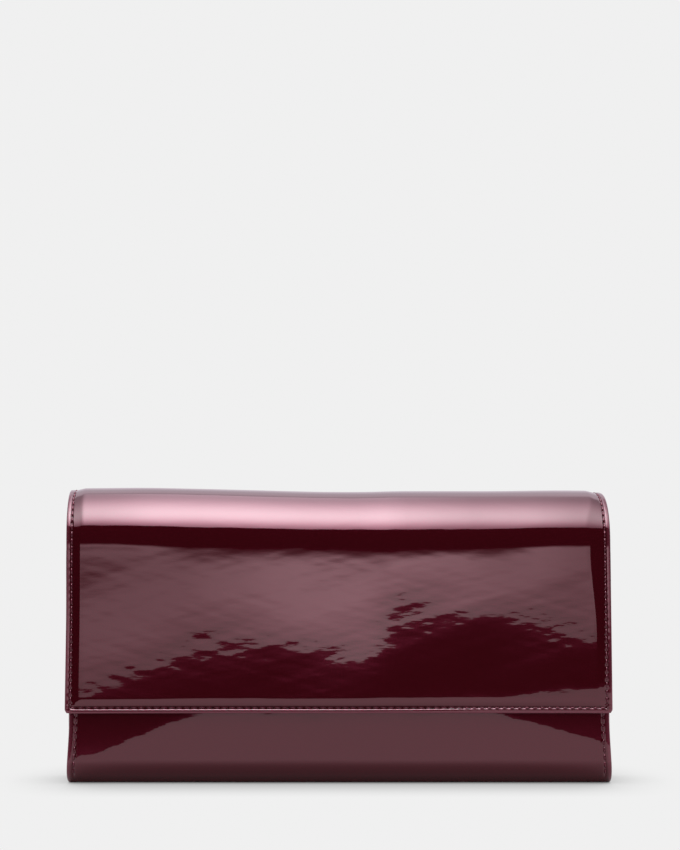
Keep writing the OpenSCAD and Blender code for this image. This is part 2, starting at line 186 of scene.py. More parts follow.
# ---------------------------------------------------------------- side views of the leather

class SideView:
    """A line in the (Y, Z) plane, made of straight stretches and arcs, measured along its length."""

    def __init__(self, *parts):
        self.parts = parts
        self.length = sum(self.part_length(p) for p in parts)

    @staticmethod
    def part_length(p):
        if p[0] == "line":
            return math.dist(p[1], p[2])
        return p[2] * math.radians(abs(p[4] - p[3]))

    def at(self, s):
        """Points and outward normals, as (n, 2) arrays, at distances s along the line."""
        s = np.asarray(s, float)
        point = np.zeros((len(s), 2))
        normal = np.zeros((len(s), 2))
        start = 0.0
        for i, p in enumerate(self.parts):
            length = self.part_length(p)
            last = i == len(self.parts) - 1
            here = (s >= start - 1e-12) & ((s < start + length) | last)
            t = (s[here] - start) / length
            if p[0] == "line":
                a, b = np.array(p[1]), np.array(p[2])
                point[here] = a + (b - a) * t[:, None]
                normal[here] = p[3]
            else:
                angle = np.radians(p[3] + (p[4] - p[3]) * t)
                spoke = np.stack([np.cos(angle), np.sin(angle)], 1)
                point[here] = np.array(p[1]) + p[2] * spoke
                normal[here] = spoke
            start += length
        return point, normal


def line(a, b, outward):
    return ("line", a, b, outward)


def arc(centre, r, a0, a1):
    return ("arc", centre, r, a0, a1)


FLAP_END_Z = FLAP_EDGE_Z - 1.1 * MM      # the soft edge hangs a little lower than the plain flap's


def flap_side_view(inset, end_z=FLAP_END_Z):
    """From the roll's crest over its front turn and down the flap, at a depth of inset below the skin."""
    y = HALF_DEPTH - inset
    turn_z = TOP - FRONT_TURN
    return SideView(
        arc((CREST_Y, turn_z), FRONT_TURN - inset, 90, 180),
        line((-y, turn_z), (-y, end_z), (-1, 0)),
    )


BASE_SEAM_Y = 3 * MM                     # where the front skin meets the back skin, under the base


def back_side_view(inset, end_y=BASE_SEAM_Y):
    """From the crest over the back turn, down the back wall and under the base."""
    y = HALF_DEPTH - inset
    return SideView(
        arc((CREST_Y, TOP - BACK_TURN), BACK_TURN - inset, 90, 0),
        line((y, TOP - BACK_TURN), (y, HEEL), (1, 0)),
        arc((HALF_DEPTH - HEEL, HEEL), HEEL - inset, 0, -90),
        line((HALF_DEPTH - HEEL, inset), (end_y, inset), (0, -1)),
    )


def front_side_view(inset):
    """From the front wall's top down to the base and under it."""
    y = FRONT_Y + inset
    return SideView(
        line((y, FRONT_TOP), (y, TOE), (-1, 0)),
        arc((OPEN_Y, OPEN_Z), TOE - inset, 180, 270),
        line((OPEN_Y, inset), (BASE_SEAM_Y, inset), (0, -1)),
    )


# ---------------------------------------------------------------- relief of the leather

ripple_rng = np.random.default_rng(7)
RIPPLES = []                             # (radians per metre across, radians per metre along, phase, height)
for across, along, slope, count in (      # lengths of the waves both ways, their slope and how many there are
        (60 * MM, 34 * MM, 0.0012, 4), (30 * MM, 10 * MM, 0.0007, 7),
        (17 * MM, 4.5 * MM, 0.0006, 12), (10 * MM, 2.6 * MM, 0.0006, 16)):
    for _ in range(count):
        kx = 2 * math.pi / (across * ripple_rng.uniform(0.6, 1.6)) * ripple_rng.choice([-1, 1])
        ks = 2 * math.pi / (along * ripple_rng.uniform(0.7, 1.4))
        RIPPLES.append((kx, ks, ripple_rng.uniform(0, 2 * math.pi), slope / ks))


def ripple(x, s):
    """The slight unevenness of leather over a soft backing."""
    h = np.zeros(np.broadcast(x, s).shape)
    for kx, ks, phase, height in RIPPLES:
        h += height * np.sin(kx * x + ks * s + phase)
    return h


def seam_relief(q, along, pull=0.0):
    """Height beside a seam. q is the distance inwards from the stitch line and along the distance along it.

    pull is how much deeper than usual the thread sits. It draws the rim up into a wider slope.
    """
    width = GROOVE_WIDTH + 0.55 * pull * (q < 0)
    groove = -(GROOVE_DEPTH + pull) * np.exp(-(q / width) ** 2)
    to_hole = np.abs((along / PITCH) % 1 - 0.5) * PITCH
    hole = -HOLE_DEPTH * np.exp(-(to_hole / HOLE_LENGTH) ** 2 - (q / GROOVE_WIDTH) ** 2)
    return groove + hole


def puff(q, slope, steady, ease):
    """A padded panel's rise from its stitch line: a steady slope, then an easing into the level face."""
    t = np.clip((q - steady) / ease, 0, 1)
    return slope * (np.clip(q, 0, steady) + ease / 2 * (t + np.sin(math.pi * t) / math.pi))


def lean_relief(x, up, pivot, lean, steps=16):
    """Height of a face whose lean back, in radians at (x, up), is given by lean, with no height at pivot."""
    rise = (up - pivot) / steps
    total = np.zeros(np.broadcast(x, up).shape)
    for k in range(steps):
        total -= np.tan(lean(x, pivot + rise * (k + 0.5))) * rise
    return total


# ---------------------------------------------------------------- a sheet of leather

def spaced(length, step, fine=(), fine_step=0.16 * MM, reach=1.3 * MM):
    """Distances from 0 to length, closer together near the places in fine."""
    marks = set(np.linspace(0, length, max(2, int(round(length / step)) + 1)))
    for place in fine:
        n = int(round(reach / fine_step))
        marks |= {place + i * fine_step for i in range(-n, n + 1)}
    marks = np.array(sorted(m for m in marks if 0 <= m <= length))
    keep = [0.0]
    for m in marks[1:-1]:
        if m - keep[-1] > fine_step * 0.6 and length - m > fine_step * 0.6:
            keep.append(m)
    return np.array(keep + [length])


RIM_ANGLES = np.radians([30, 60, 90, 120, 150, 180])  # where the rounded edge has its rings of points
RIM_PAINT = (0.55, 0.85, 1, 1, 1, 1, 1)  # how much of the edge paint shows on each ring
MARGIN = 1.7 * MM                        # the margin beside the edge that takes a little of the edge colour as a painted sheen
MARGIN_FADE = 0.8 * MM
# The margin's share of the edge colour is a painted sheen: lighter pink where the rounded margin would catch
# light.
MARGIN_SHEEN = 0.4


def grid_rim(n_rows, n_cols):
    """The (row, column) pairs of a grid's edge, once round."""
    top = [(0, j) for j in range(n_cols)]
    right = [(i, n_cols - 1) for i in range(1, n_rows)]
    bottom = [(n_rows - 1, j) for j in range(n_cols - 2, -1, -1)]
    left = [(i, 0) for i in range(n_rows - 2, 0, -1)]
    return top + right + bottom + left


def lattice_faces(rows, cols, rim_at, inner_at):
    """Large faces between some rows and columns of a grid. Those at the rim keep every point of the rim."""
    def corner(i, j):
        return rim_at[i, j] if (i, j) in rim_at else inner_at[i, j]

    faces = []
    for a, b in zip(rows, rows[1:]):
        for c, d in zip(cols, cols[1:]):
            face = []
            face += [rim_at[a, j] for j in range(c, d)] if a == 0 else [corner(a, c)]
            face += [rim_at[i, d] for i in range(a, b)] if d == cols[-1] else [corner(a, d)]
            face += [rim_at[b, j] for j in range(d, c, -1)] if b == rows[-1] else [corner(b, d)]
            face += [rim_at[i, c] for i in range(b, a, -1)] if c == 0 else [corner(b, c)]
            faces.append(tuple(face))
    return faces


def paint_rim_and_sheen(obj, to_edge, rings):
    """Stores how much edge colour shows: edge paint on the rim, a painted sheen on the margin beside it.
    to_edge is each outer point's distance from the sheet's edge.
    """
    painted = np.zeros(len(obj.data.vertices), np.float32)
    # The margin gets a painted sheen; only the rings of the rim get the edge paint itself.
    painted[:to_edge.size] = (MARGIN_SHEEN * smooth((MARGIN - to_edge) / MARGIN_FADE)).ravel()
    for ring, share in zip(rings, RIM_PAINT):
        painted[ring] = share
    obj.data.attributes.new("edge_paint", "FLOAT", "POINT").data.foreach_set("value", painted)


def leather_sheet(name, view, edges, relief, thickness, material, rows, columns, cuts=(), coarse=7):
    """A closed sheet with rounded edges that follows a side view.

    edges(s) gives the sheet's left and right edges at distance s, and relief(x, s) its height over the
    side view. rows are distances along the side view and columns run from -1 to 1. An end in cuts, 0 or 1,
    is left square, because another sheet carries on there. The inner face keeps one row in every coarse.
    """
    r = thickness / 2
    rows = rows.copy()
    if 0 not in cuts:
        rows = r + rows * (1 - r / view.length)
    if 1 not in cuts:
        rows = rows * (1 - r / view.length)
    point, normal = view.at(rows)
    left_x, right_x = edges(rows)
    share = (columns[None, :] + 1) / 2
    x = (left_x + r)[:, None] * (1 - share) + (right_x - r)[:, None] * share
    s = np.broadcast_to(rows[:, None], x.shape)
    height = relief(x, s)
    n_rows, n_cols = x.shape
    up = np.zeros((n_rows, n_cols, 3))
    up[..., 1:] = normal[:, None, :]
    grid = up * height[..., None]
    grid[..., 0] = x
    grid[..., 1:] += point[:, None, :]

    # The rounded edge: rings of points that swell out and down from the grid's own edge
    loop = grid_rim(n_rows, n_cols)
    edge = np.array([grid[i, j] for i, j in loop])
    edge_up = np.array([up[i, j] for i, j in loop])
    out = np.cross(np.roll(edge, -1, 0) - np.roll(edge, 1, 0), edge_up)
    out /= np.linalg.norm(out, axis=1)[:, None]
    side = n_cols + n_rows // 2
    if out[side] @ (edge[side] - grid[n_rows // 2, n_cols // 2]) < 0:
        out = -out
    swell = np.ones(len(loop))
    for k, (i, j) in enumerate(loop):
        if (i == 0 and 0 in cuts) or (i == n_rows - 1 and 1 in cuts):
            swell[k] = 0
    verts = [grid.reshape(-1, 3)]
    rings = [np.array([i * n_cols + j for i, j in loop])]
    count = n_rows * n_cols
    for angle in RIM_ANGLES:
        swelling = (r * math.sin(angle) * swell)[:, None]
        verts.append(edge + out * swelling - edge_up * r * (1 - math.cos(angle)))
        rings.append(np.arange(count, count + len(loop)))
        count += len(loop)

    faces = []
    for a in range(0, (n_rows - 1) * n_cols, n_cols):
        faces += [(a + j, a + j + 1, a + j + 1 + n_cols, a + j + n_cols) for j in range(n_cols - 1)]
    for upper, lower in zip(rings, rings[1:]):
        next_upper, next_lower = np.roll(upper, -1), np.roll(lower, -1)
        faces += zip(upper.tolist(), lower.tolist(), next_lower.tolist(), next_upper.tolist())

    # The inner face has fewer points
    inner_rows = sorted(set(range(0, n_rows - 1, coarse)) | {n_rows - 1})
    inner_cols = sorted(set(range(0, n_cols - 1, coarse * 2)) | {n_cols - 1})
    inner_at = {}
    inner = []
    for i in inner_rows[1:-1]:
        for j in inner_cols[1:-1]:
            inner_at[i, j] = count + len(inner)
            inner.append(grid[i, j] - up[i, j] * (thickness + height[i, j]))
    if inner:
        verts.append(np.array(inner))
    rim_at = {ij: int(rings[-1][k]) for k, ij in enumerate(loop)}
    faces += lattice_faces(inner_rows, inner_cols, rim_at, inner_at)

    obj = mesh_object(name, np.concatenate(verts), faces, material)
    to_edge = np.minimum(x - left_x[:, None], right_x[:, None] - x)
    if 1 not in cuts:
        to_edge = np.minimum(to_edge, view.length - s)
    paint_rim_and_sheen(obj, to_edge, rings)
    return obj


# ---------------------------------------------------------------- shader node groups and materials

def new_group(name, inputs, outputs):
    """An empty shader node group. inputs is {name: default} and outputs is {name: socket type}."""
    group = bpy.data.node_groups.new(name, "ShaderNodeTree")
    for label, default in inputs.items():
        socket = group.interface.new_socket(label, in_out="INPUT", socket_type="NodeSocketFloat")
        socket.default_value = default
    for label, kind in outputs.items():
        group.interface.new_socket(label, in_out="OUTPUT", socket_type=kind)
    group_in = group.nodes.new("NodeGroupInput")
    group_out = group.nodes.new("NodeGroupOutput")
    return group, group_in, group_out


def add_math(tree, operation, *values):
    """A Math node in any node tree. values are numbers or sockets, in the order of its inputs."""
    node = tree.nodes.new("ShaderNodeMath")
    node.operation = operation
    for socket, value in zip(node.inputs, values):
        if isinstance(value, (int, float)):
            socket.default_value = value
        else:
            tree.links.new(value, socket)
    return node.outputs[0]


def joined_xyz(tree, **axes):
    """A vector from sockets given as X, Y and Z."""
    node = tree.nodes.new("ShaderNodeCombineXYZ")
    for axis, socket in axes.items():
        tree.links.new(socket, node.inputs[axis])
    return node.outputs[0]


def mixed_colour(tree, factor, a, b):
    """A mix of two colours, each a socket or an (r, g, b)."""
    node = tree.nodes.new("ShaderNodeMix")
    node.data_type = "RGBA"
    tree.links.new(factor, node.inputs["Factor"])
    for label, colour in (("A", a), ("B", b)):
        if isinstance(colour, tuple):
            node.inputs[label].default_value = (*colour, 1)
        else:
            tree.links.new(colour, node.inputs[label])
    return node.outputs["Result"]


def own_place(tree):
    """The point's place on its object."""
    return tree.nodes.new("ShaderNodeTexCoord").outputs["Object"]


def own_xyz(tree):
    """The same place as separate X, Y and Z sockets."""
    node = tree.nodes.new("ShaderNodeSeparateXYZ")
    tree.links.new(own_place(tree), node.inputs[0])
    return node.outputs


def make_speckle_group():
    """Fine speckle and slow drift, as in pearl lacquer, dye and brushed cloth."""
    group, g_in, g_out = new_group(
        "speckle and drift",
        {"Speckle Scale": 2500.0, "Drift Scale": 30.0, "Drift Share": 0.6},
        {"Value": "NodeSocketFloat"})
    where = own_place(group)
    speckle = group.nodes.new("ShaderNodeTexNoise")
    drift = group.nodes.new("ShaderNodeTexNoise")
    for node, label in ((speckle, "Speckle Scale"), (drift, "Drift Scale")):
        group.links.new(where, node.inputs["Vector"])
        group.links.new(g_in.outputs[label], node.inputs["Scale"])
    mix = group.nodes.new("ShaderNodeMix")
    group.links.new(g_in.outputs["Drift Share"], mix.inputs["Factor"])
    group.links.new(speckle.outputs["Fac"], mix.inputs["A"])
    group.links.new(drift.outputs["Fac"], mix.inputs["B"])
    group.links.new(mix.outputs["Result"], g_out.inputs["Value"])
    return group


def make_weave_group():
    """A cloth weave as a height from 0 to 1, from two crossed bands."""
    group, g_in, g_out = new_group("weave", {"Threads per Metre": 2500.0}, {"Height": "NodeSocketFloat"})
    xyz = own_xyz(group)
    turn = add_math(group, "MULTIPLY", g_in.outputs["Threads per Metre"], 2 * math.pi)
    upright = add_math(group, "ADD", xyz["Y"], xyz["Z"])
    across = add_math(group, "SINE", add_math(group, "MULTIPLY", xyz["X"], turn))
    along = add_math(group, "SINE", add_math(group, "MULTIPLY", upright, turn))
    product = add_math(group, "MULTIPLY", across, along)
    group.links.new(add_math(group, "MULTIPLY_ADD", product, 0.5, 0.5), g_out.inputs["Height"])
    return group


def make_grain_group():
    """Pebbled leather grain as a height."""
    group, g_in, g_out = new_group("grain", {"Scale": 1400.0, "Depth": 1.0}, {"Height": "NodeSocketFloat"})
    cells = group.nodes.new("ShaderNodeTexVoronoi")
    group.links.new(own_place(group), cells.inputs["Vector"])
    group.links.new(g_in.outputs["Scale"], cells.inputs["Scale"])
    depth = add_math(group, "MULTIPLY", cells.outputs["Distance"], g_in.outputs["Depth"])
    group.links.new(depth, g_out.inputs["Height"])
    return group


def make_lacquer_group():
    """The fine, mostly horizontal unevenness of a lacquered surface, as a height."""
    group, g_in, g_out = new_group(
        "lacquer ripple", {"Across": 170.0, "Along": 620.0}, {"Height": "NodeSocketFloat"})
    across, along = g_in.outputs["Across"], g_in.outputs["Along"]
    product = group.nodes.new("ShaderNodeVectorMath")
    product.operation = "MULTIPLY"
    group.links.new(own_place(group), product.inputs[0])
    group.links.new(joined_xyz(group, X=across, Y=along, Z=along), product.inputs[1])
    noise = group.nodes.new("ShaderNodeTexNoise")
    noise.inputs["Scale"].default_value = 1.0
    noise.inputs["Detail"].default_value = 2.0
    group.links.new(product.outputs[0], noise.inputs["Vector"])
    group.links.new(noise.outputs["Fac"], g_out.inputs["Height"])
    return group


LACQUER = make_lacquer_group()
SPECKLE = make_speckle_group()
WEAVE = make_weave_group()
GRAIN = make_grain_group()


def place_group(tree, group, **values):
    """The group with its own values, whose names have _ for each space."""
    node = tree.nodes.new("ShaderNodeGroup")
    node.node_tree = group
    for label, value in values.items():
        node.inputs[label.replace("_", " ")].default_value = value
    return node


def make_material(name, dark, light, sockets, rough=None, speckle=None, bump=None, coat_bump=False):
    """A Principled material whose colour drifts between dark and light, with roughness and bump from nodes.

    rough is (low, high), speckle the speckle group's values and bump (group, values, distance, strength).
    """
    material = bpy.data.materials.new(name)
    material.use_nodes = True
    tree = material.node_tree
    shader = tree.nodes["Principled BSDF"]
    for label, value in sockets.items():
        shader.inputs[label].default_value = value
    tone = place_group(tree, SPECKLE, **(speckle or {}))
    tree.links.new(mixed_colour(tree, tone.outputs["Value"], dark, light), shader.inputs["Base Color"])
    if rough:
        span = tree.nodes.new("ShaderNodeMapRange")
        span.inputs["To Min"].default_value = rough[0]
        span.inputs["To Max"].default_value = rough[1]
        tree.links.new(tone.outputs["Value"], span.inputs["Value"])
        tree.links.new(span.outputs["Result"], shader.inputs["Roughness"])
    if bump:
        group, values, distance, strength = bump
        relief = place_group(tree, group, **values)
        node = tree.nodes.new("ShaderNodeBump")
        node.inputs["Distance"].default_value = distance
        node.inputs["Strength"].default_value = strength
        tree.links.new(relief.outputs["Height"], node.inputs["Height"])
        tree.links.new(node.outputs["Normal"], shader.inputs["Normal"])
        if coat_bump:
            tree.links.new(node.outputs["Normal"], shader.inputs["Coat Normal"])
    return material


PATENT = make_material(
    "patent leather", (0.030, 0.0008, 0.0026), (0.039, 0.0012, 0.0038),
    {"Coat Weight": 1.0, "Coat Roughness": 0.015, "Coat IOR": 1.5, "Specular IOR Level": 0.6,
     "Specular Tint": (1.0, 0.12, 0.28, 1.0)},
    rough=(0.06, 0.1), speckle={"Speckle_Scale": 5200.0, "Drift_Scale": 24.0, "Drift_Share": 0.45},
    bump=(LACQUER, {}, 0.000004, 1.0), coat_bump=True)


def paint_edges_and_sheen(material, colour):
    """Shows the satin edge paint of the sheets' rims and, on the margins beside them, a painted sheen in the
    same colour, as far as each point's edge attribute says.
    """
    tree = material.node_tree
    base = tree.nodes["Principled BSDF"].inputs["Base Color"]
    mask = tree.nodes.new("ShaderNodeAttribute")
    mask.attribute_name = "edge_paint"
    tree.links.new(mixed_colour(tree, mask.outputs["Fac"], base.links[0].from_socket, colour), base)


# Edge paint on the rims, and a painted sheen in the same colour on the margins beside them.
paint_edges_and_sheen(PATENT, (0.13, 0.028, 0.045))
THREAD_RED = make_material(
    "waxed thread", (0.10, 0.016, 0.030), (0.15, 0.026, 0.046),
    {"Metallic": 0.6, "Coat Weight": 0.4, "Coat Roughness": 0.12},
    rough=(0.26, 0.4), speckle={"Speckle_Scale": 3000.0, "Drift_Scale": 200.0, "Drift_Share": 0.4})
CALF = make_material(
    "smooth calf leather", (0.075, 0.006, 0.014), (0.125, 0.012, 0.026),
    {"Specular IOR Level": 0.45}, rough=(0.32, 0.5),
    speckle={"Speckle_Scale": 900.0, "Drift_Scale": 40.0, "Drift_Share": 0.5},
    bump=(GRAIN, {"Scale": 1500.0}, 0.0002, 0.35))
TWILL = make_material(
    "lining cloth", (0.065, 0.007, 0.014), (0.105, 0.013, 0.025),
    {"Specular IOR Level": 0.25, "Sheen Weight": 0.25}, rough=(0.7, 0.9),
    speckle={"Speckle_Scale": 2600.0, "Drift_Scale": 60.0, "Drift_Share": 0.4},
    bump=(WEAVE, {"Threads_per_Metre": 2200.0}, 0.0002, 0.5))
TAPE = make_material(
    "zip tape", (0.05, 0.005, 0.011), (0.08, 0.01, 0.02),
    {"Specular IOR Level": 0.25}, rough=(0.7, 0.9), bump=(WEAVE, {"Threads_per_Metre": 1600.0}, 0.0003, 0.6))
GOLD = make_material(
    "pale gold plate", (0.72, 0.52, 0.27), (0.82, 0.62, 0.35), {"Metallic": 1.0}, rough=(0.16, 0.3),
    speckle={"Speckle_Scale": 1800.0, "Drift_Scale": 120.0, "Drift_Share": 0.5})
BOARD = make_material(
    "fibre board", (0.30, 0.20, 0.12), (0.42, 0.30, 0.19), {"Specular IOR Level": 0.2}, rough=(0.8, 0.95),
    bump=(GRAIN, {"Scale": 900.0}, 0.0002, 0.3))
MAGNET = make_material(
    "plated magnet", (0.45, 0.45, 0.47), (0.6, 0.6, 0.62), {"Metallic": 1.0}, rough=(0.25, 0.4))

SLOT_MATERIAL = {
    "patent_leather": PATENT, "lining": TWILL, "card_leather": CALF, "board": BOARD,
    "thread": THREAD_RED, "zip_metal": GOLD, "zip_tape": TAPE, "magnet": MAGNET,
}
SLOT_OF = {part["node"]: part["material_slot"] for part in frame["record"]["subparts"]}
for node, slot in SLOT_OF.items():
    mesh = frame["nodes"][node].data
    mesh.materials.clear()
    mesh.materials.append(SLOT_MATERIAL[slot])


# ---------------------------------------------------------------- the patent leather skins

FLAP_VIEW = flap_side_view(0)
BACK_VIEW = back_side_view(0)
FRONT_VIEW = front_side_view(0)
TURN_S = FRONT_TURN * math.pi / 2        # where the roll's front turn ends, along the flap's side view
FLAP_SEAM_S = FLAP_VIEW.length - SEAM_INSET  # where the stitches along the flap's lower edge lie
CORNER = 1.6 * MM                        # rounding of the flap's lower corners
CREST_DRAW = 1.9 * MM                    # how far the roll's right end draws in at the crest
CREST_SPREAD = 0.4 * MM                  # how far its left end spreads there
RIGHT_SPREAD = 0.2 * MM                  # how far the right edge stands out beyond the plain body
RISE_SLOPE = 0.24                        # slope of the padded rise inside the flap's seams
RISE_START = 0.7 * MM                    # how far inside a side seam that rise starts
RIPPLE_START = 5 * MM                    # distance over which the unevenness comes in beside a seam
LEAN_PIVOT = 26 * MM                     # height on the flap that the lean leaves in place


def side_gap(x, s, edges, inset=SEAM_INSET):
    """Distance inwards from the nearer side seam."""
    left, right = edges(s)
    return np.minimum(x - left, right - x) - inset


def crest_draw(s):
    """How far the roll's right end draws in at distance s from the crest."""
    return CREST_DRAW * np.exp(-s / (8 * MM))


def flap_square_edges(s):
    """The flap flares a little downwards. These are its sides without the rounded corners."""
    down = np.clip((s - TURN_S) / (FLAP_VIEW.length - TURN_S), 0, 1)
    half = HALF_BODY + (HALF_FLAP - HALF_BODY) * down
    left = -half - CREST_SPREAD * smooth(1 - s / TURN_S) + 0.3 * MM * smooth(down * 2)
    return left, half + RIGHT_SPREAD - crest_draw(s)


def flap_edges(s):
    """The flap's sides with its lower corners rounded."""
    left, right = flap_square_edges(s)
    from_edge = np.clip(FLAP_VIEW.length - s, 0, CORNER)
    rounding = CORNER - np.sqrt(CORNER ** 2 - (CORNER - from_edge) ** 2)
    return left + rounding, right - rounding


# The flap isn't quite flat: its lean back, in degrees, at places along the wallet in mm
FLAP_LEAN = [
    (-98, 1.5), (-84, 1.33), (-70, 0.98), (-50, 0.52), (-28, 0.49), (-8, 0.74), (4, 0.68), (12, 0.58),
    (20, -0.04), (32, -0.14), (50, -0.11), (66, 0.17), (82, 0.08), (98, 0.32)]
LEAN_SMOOTHING = (-4 * MM, -2 * MM, 0.0, 2 * MM, 4 * MM)  # the places whose leans are averaged


def flap_lean(x, up):
    """The flap's lean back, in radians. up is measured from its lower edge."""
    places, leans = np.array(FLAP_LEAN).T
    lean = sum(np.interp(x + shift, places * MM, leans) for shift in LEAN_SMOOTHING) / len(LEAN_SMOOTHING)
    lean *= smooth((66 * MM - up) / (22 * MM))
    away = np.abs(x)
    # A brow across the middle, below the roll
    brow = (1.1 + 0.2 * smooth((away - 10 * MM) / (20 * MM))) * np.exp(-((up - 60 * MM) / (5 * MM)) ** 2)
    brow *= smooth((74 * MM - away) / (26 * MM))
    # The roll's front turn ends sooner towards both ends of the wallet
    flat_top = -4.4 * np.exp(-((up - 63 * MM) / (4 * MM)) ** 2) * smooth((away - 50 * MM) / (34 * MM))
    # The right half of the lower edge curls back, in a band that is higher towards the corner
    reach = 11.5 * MM + 2.4 * MM * smooth((x - 60 * MM) / (24 * MM))
    curl = -1.3 * smooth((x - 20 * MM) / (60 * MM)) * smooth((reach - up) / (6 * MM))
    return np.radians(lean + brow + flat_top + curl)


def crest_rise(x):
    """How much higher than the plain roll the leather stands. It is less to the right and at both ends."""
    rise = -0.9 * MM + 1.5 * MM * smooth((8 * MM - x) / (85 * MM))
    return rise - 0.42 * MM * smooth((np.abs(x) - 50 * MM) / (34 * MM))


def flap_relief(x, s):
    side_q = side_gap(x, s, flap_square_edges)
    up = FLAP_VIEW.length - s
    end_q = up - SEAM_INSET
    wide = smooth((up - 26 * MM) / (34 * MM)) * smooth((80 * MM - up) / (14 * MM)) * (x > 0)
    side_fill = puff(side_q - RISE_START, RISE_SLOPE / (1 + wide), (2.0 + 2.6 * wide) * MM, 1.2 * MM)
    fill = np.minimum(side_fill, puff(end_q, RISE_SLOPE, 1.6 * MM, 2.2 * MM))
    inside = smooth(np.minimum(side_q, end_q) / RIPPLE_START)
    lean = lean_relief(x, up, LEAN_PIVOT, flap_lean)
    crest = crest_rise(x) * smooth(1 - s / (TURN_S * 1.1))
    pull = 0.36 * MM * smooth((58 * MM - x) / (36 * MM))
    end_seam = np.where(side_q > 0, seam_relief(end_q, x, pull), 0)
    side_seam = np.where(end_q > 0, seam_relief(side_q, s - FLAP_SEAM_S), 0)
    return fill + lean + crest + inside * ripple(x, s) + end_seam + side_seam


def back_edges(s):
    """The back skin spreads slightly at the crest's left end and under the heel."""
    heel = smooth((s - BACK_VIEW.length + 16 * MM) / (14 * MM))
    left = -HALF_BODY - CREST_SPREAD * smooth(1 - s / (14 * MM)) - 0.2 * MM * heel
    return left, HALF_BODY + RIGHT_SPREAD - crest_draw(s) + 0.9 * MM * heel


def back_relief(x, s):
    side_q = side_gap(x, s, back_edges)
    inside = smooth(side_q / RIPPLE_START)
    left_to_go = BACK_VIEW.length - s
    wall = smooth(s / (8 * MM)) * smooth((left_to_go - 14 * MM) / (10 * MM))
    seam = seam_relief(side_q, s + FLAP_SEAM_S) * smooth((left_to_go - 12 * MM) / (2 * MM))
    panel = puff(side_q, 0.2, 1.4 * MM, 2.0 * MM) + inside * ripple(x + 0.3, s)
    # Along the crest it meets the flap's relief
    lean = lean_relief(x, np.full_like(x, FLAP_VIEW.length), LEAN_PIVOT, flap_lean)
    crest = (crest_rise(x) + lean) * smooth(1 - s / (22 * MM))
    flap_panel = puff(side_q - RISE_START, RISE_SLOPE, 2.0 * MM, 1.2 * MM) + inside * ripple(x, -s)
    return crest + smooth(1 - s / (8 * MM)) * flap_panel + wall * panel + seam


def front_edges(s):
    """The front spreads slightly where it turns under."""
    spread = 1.0 * MM * smooth((s - FRONT_TOP + 24 * MM) / (24 * MM))
    return -HALF_BODY + 0.7 * MM - spread, HALF_BODY + 0.15 * MM + spread


def front_lean(x, up):
    """The front wall's lean back, in radians: its upper corners fall away towards the ends."""
    below = 26 * MM - up
    starts = np.where(x < 0, 53 * MM + below * 2.05, 60.8 * MM + below * 2.85)
    share = smooth((np.abs(x) - starts + 8 * MM) / (14 * MM))
    deeper = (25 * MM - up) / MM
    lean = np.where(x < 0, 0.93 + deeper * 0.093, 1.15 + deeper * 0.1)
    return np.radians(share * lean) * smooth((36 * MM - up) / (8 * MM))


def front_relief(x, s):
    side_q = side_gap(x, s, front_edges, FRONT_INSET)
    up = FRONT_TOP - s                    # height above the base, on the wall
    wall = smooth((up - 2 * MM) / (8 * MM))
    seam = seam_relief(side_q, s) * smooth((up - 1 * MM) / (2 * MM))
    lean = lean_relief(x, np.clip(up, 8 * MM, 38 * MM), 8 * MM, front_lean)
    panel = puff(side_q, 0.07, 0.8 * MM, 1.2 * MM) + smooth(side_q / RIPPLE_START) * ripple(x + 0.7, s)
    return wall * panel + seam + lean


def columns_for(half, step):
    """Columns from -1 to 1, closer at the side seams."""
    across = spaced(2 * half, step, fine=(SEAM_INSET, 2 * half - SEAM_INSET))
    return across / half - 1


flap_rows = spaced(FLAP_VIEW.length, PITCH / 4, fine=(FLAP_SEAM_S, 0.0), reach=1.2 * MM)
skin_flap = leather_sheet(
    "skin_flap", FLAP_VIEW, flap_edges, flap_relief, LEATHER, PATENT,
    flap_rows, columns_for(HALF_FLAP, PITCH / 4), cuts=(0,))
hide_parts("flap_cover", "roll_cover")

back_rows = spaced(BACK_VIEW.length, PITCH / 3, fine=(0.0,), reach=1.2 * MM)
skin_back = leather_sheet(
    "skin_back", BACK_VIEW, back_edges, back_relief, LEATHER, PATENT,
    back_rows, columns_for(HALF_BODY, PITCH / 3), cuts=(0, 1))
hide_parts("cover_back")

front_rows = spaced(FRONT_VIEW.length, PITCH / 3)
skin_front = leather_sheet(
    "skin_front", FRONT_VIEW, front_edges, front_relief, LEATHER, PATENT,
    front_rows, columns_for(HALF_BODY, PITCH / 3), cuts=(1,))
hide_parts("cover_front")


# ---------------------------------------------------------------- stitching

def new_growing_tree(name, sizes):
    """A geometry nodes tree with inputs for points, sizes and a material. Returns it and its two ends."""
    tree = bpy.data.node_groups.new(name, "GeometryNodeTree")
    face = tree.interface
    face.new_socket("Geometry", in_out="INPUT", socket_type="NodeSocketGeometry")
    for label in sizes:
        face.new_socket(label, in_out="INPUT", socket_type="NodeSocketFloat")
    face.new_socket("Material", in_out="INPUT", socket_type="NodeSocketMaterial")
    face.new_socket("Geometry", in_out="OUTPUT", socket_type="NodeSocketGeometry")
    return tree, tree.nodes.new("NodeGroupInput"), tree.nodes.new("NodeGroupOutput")


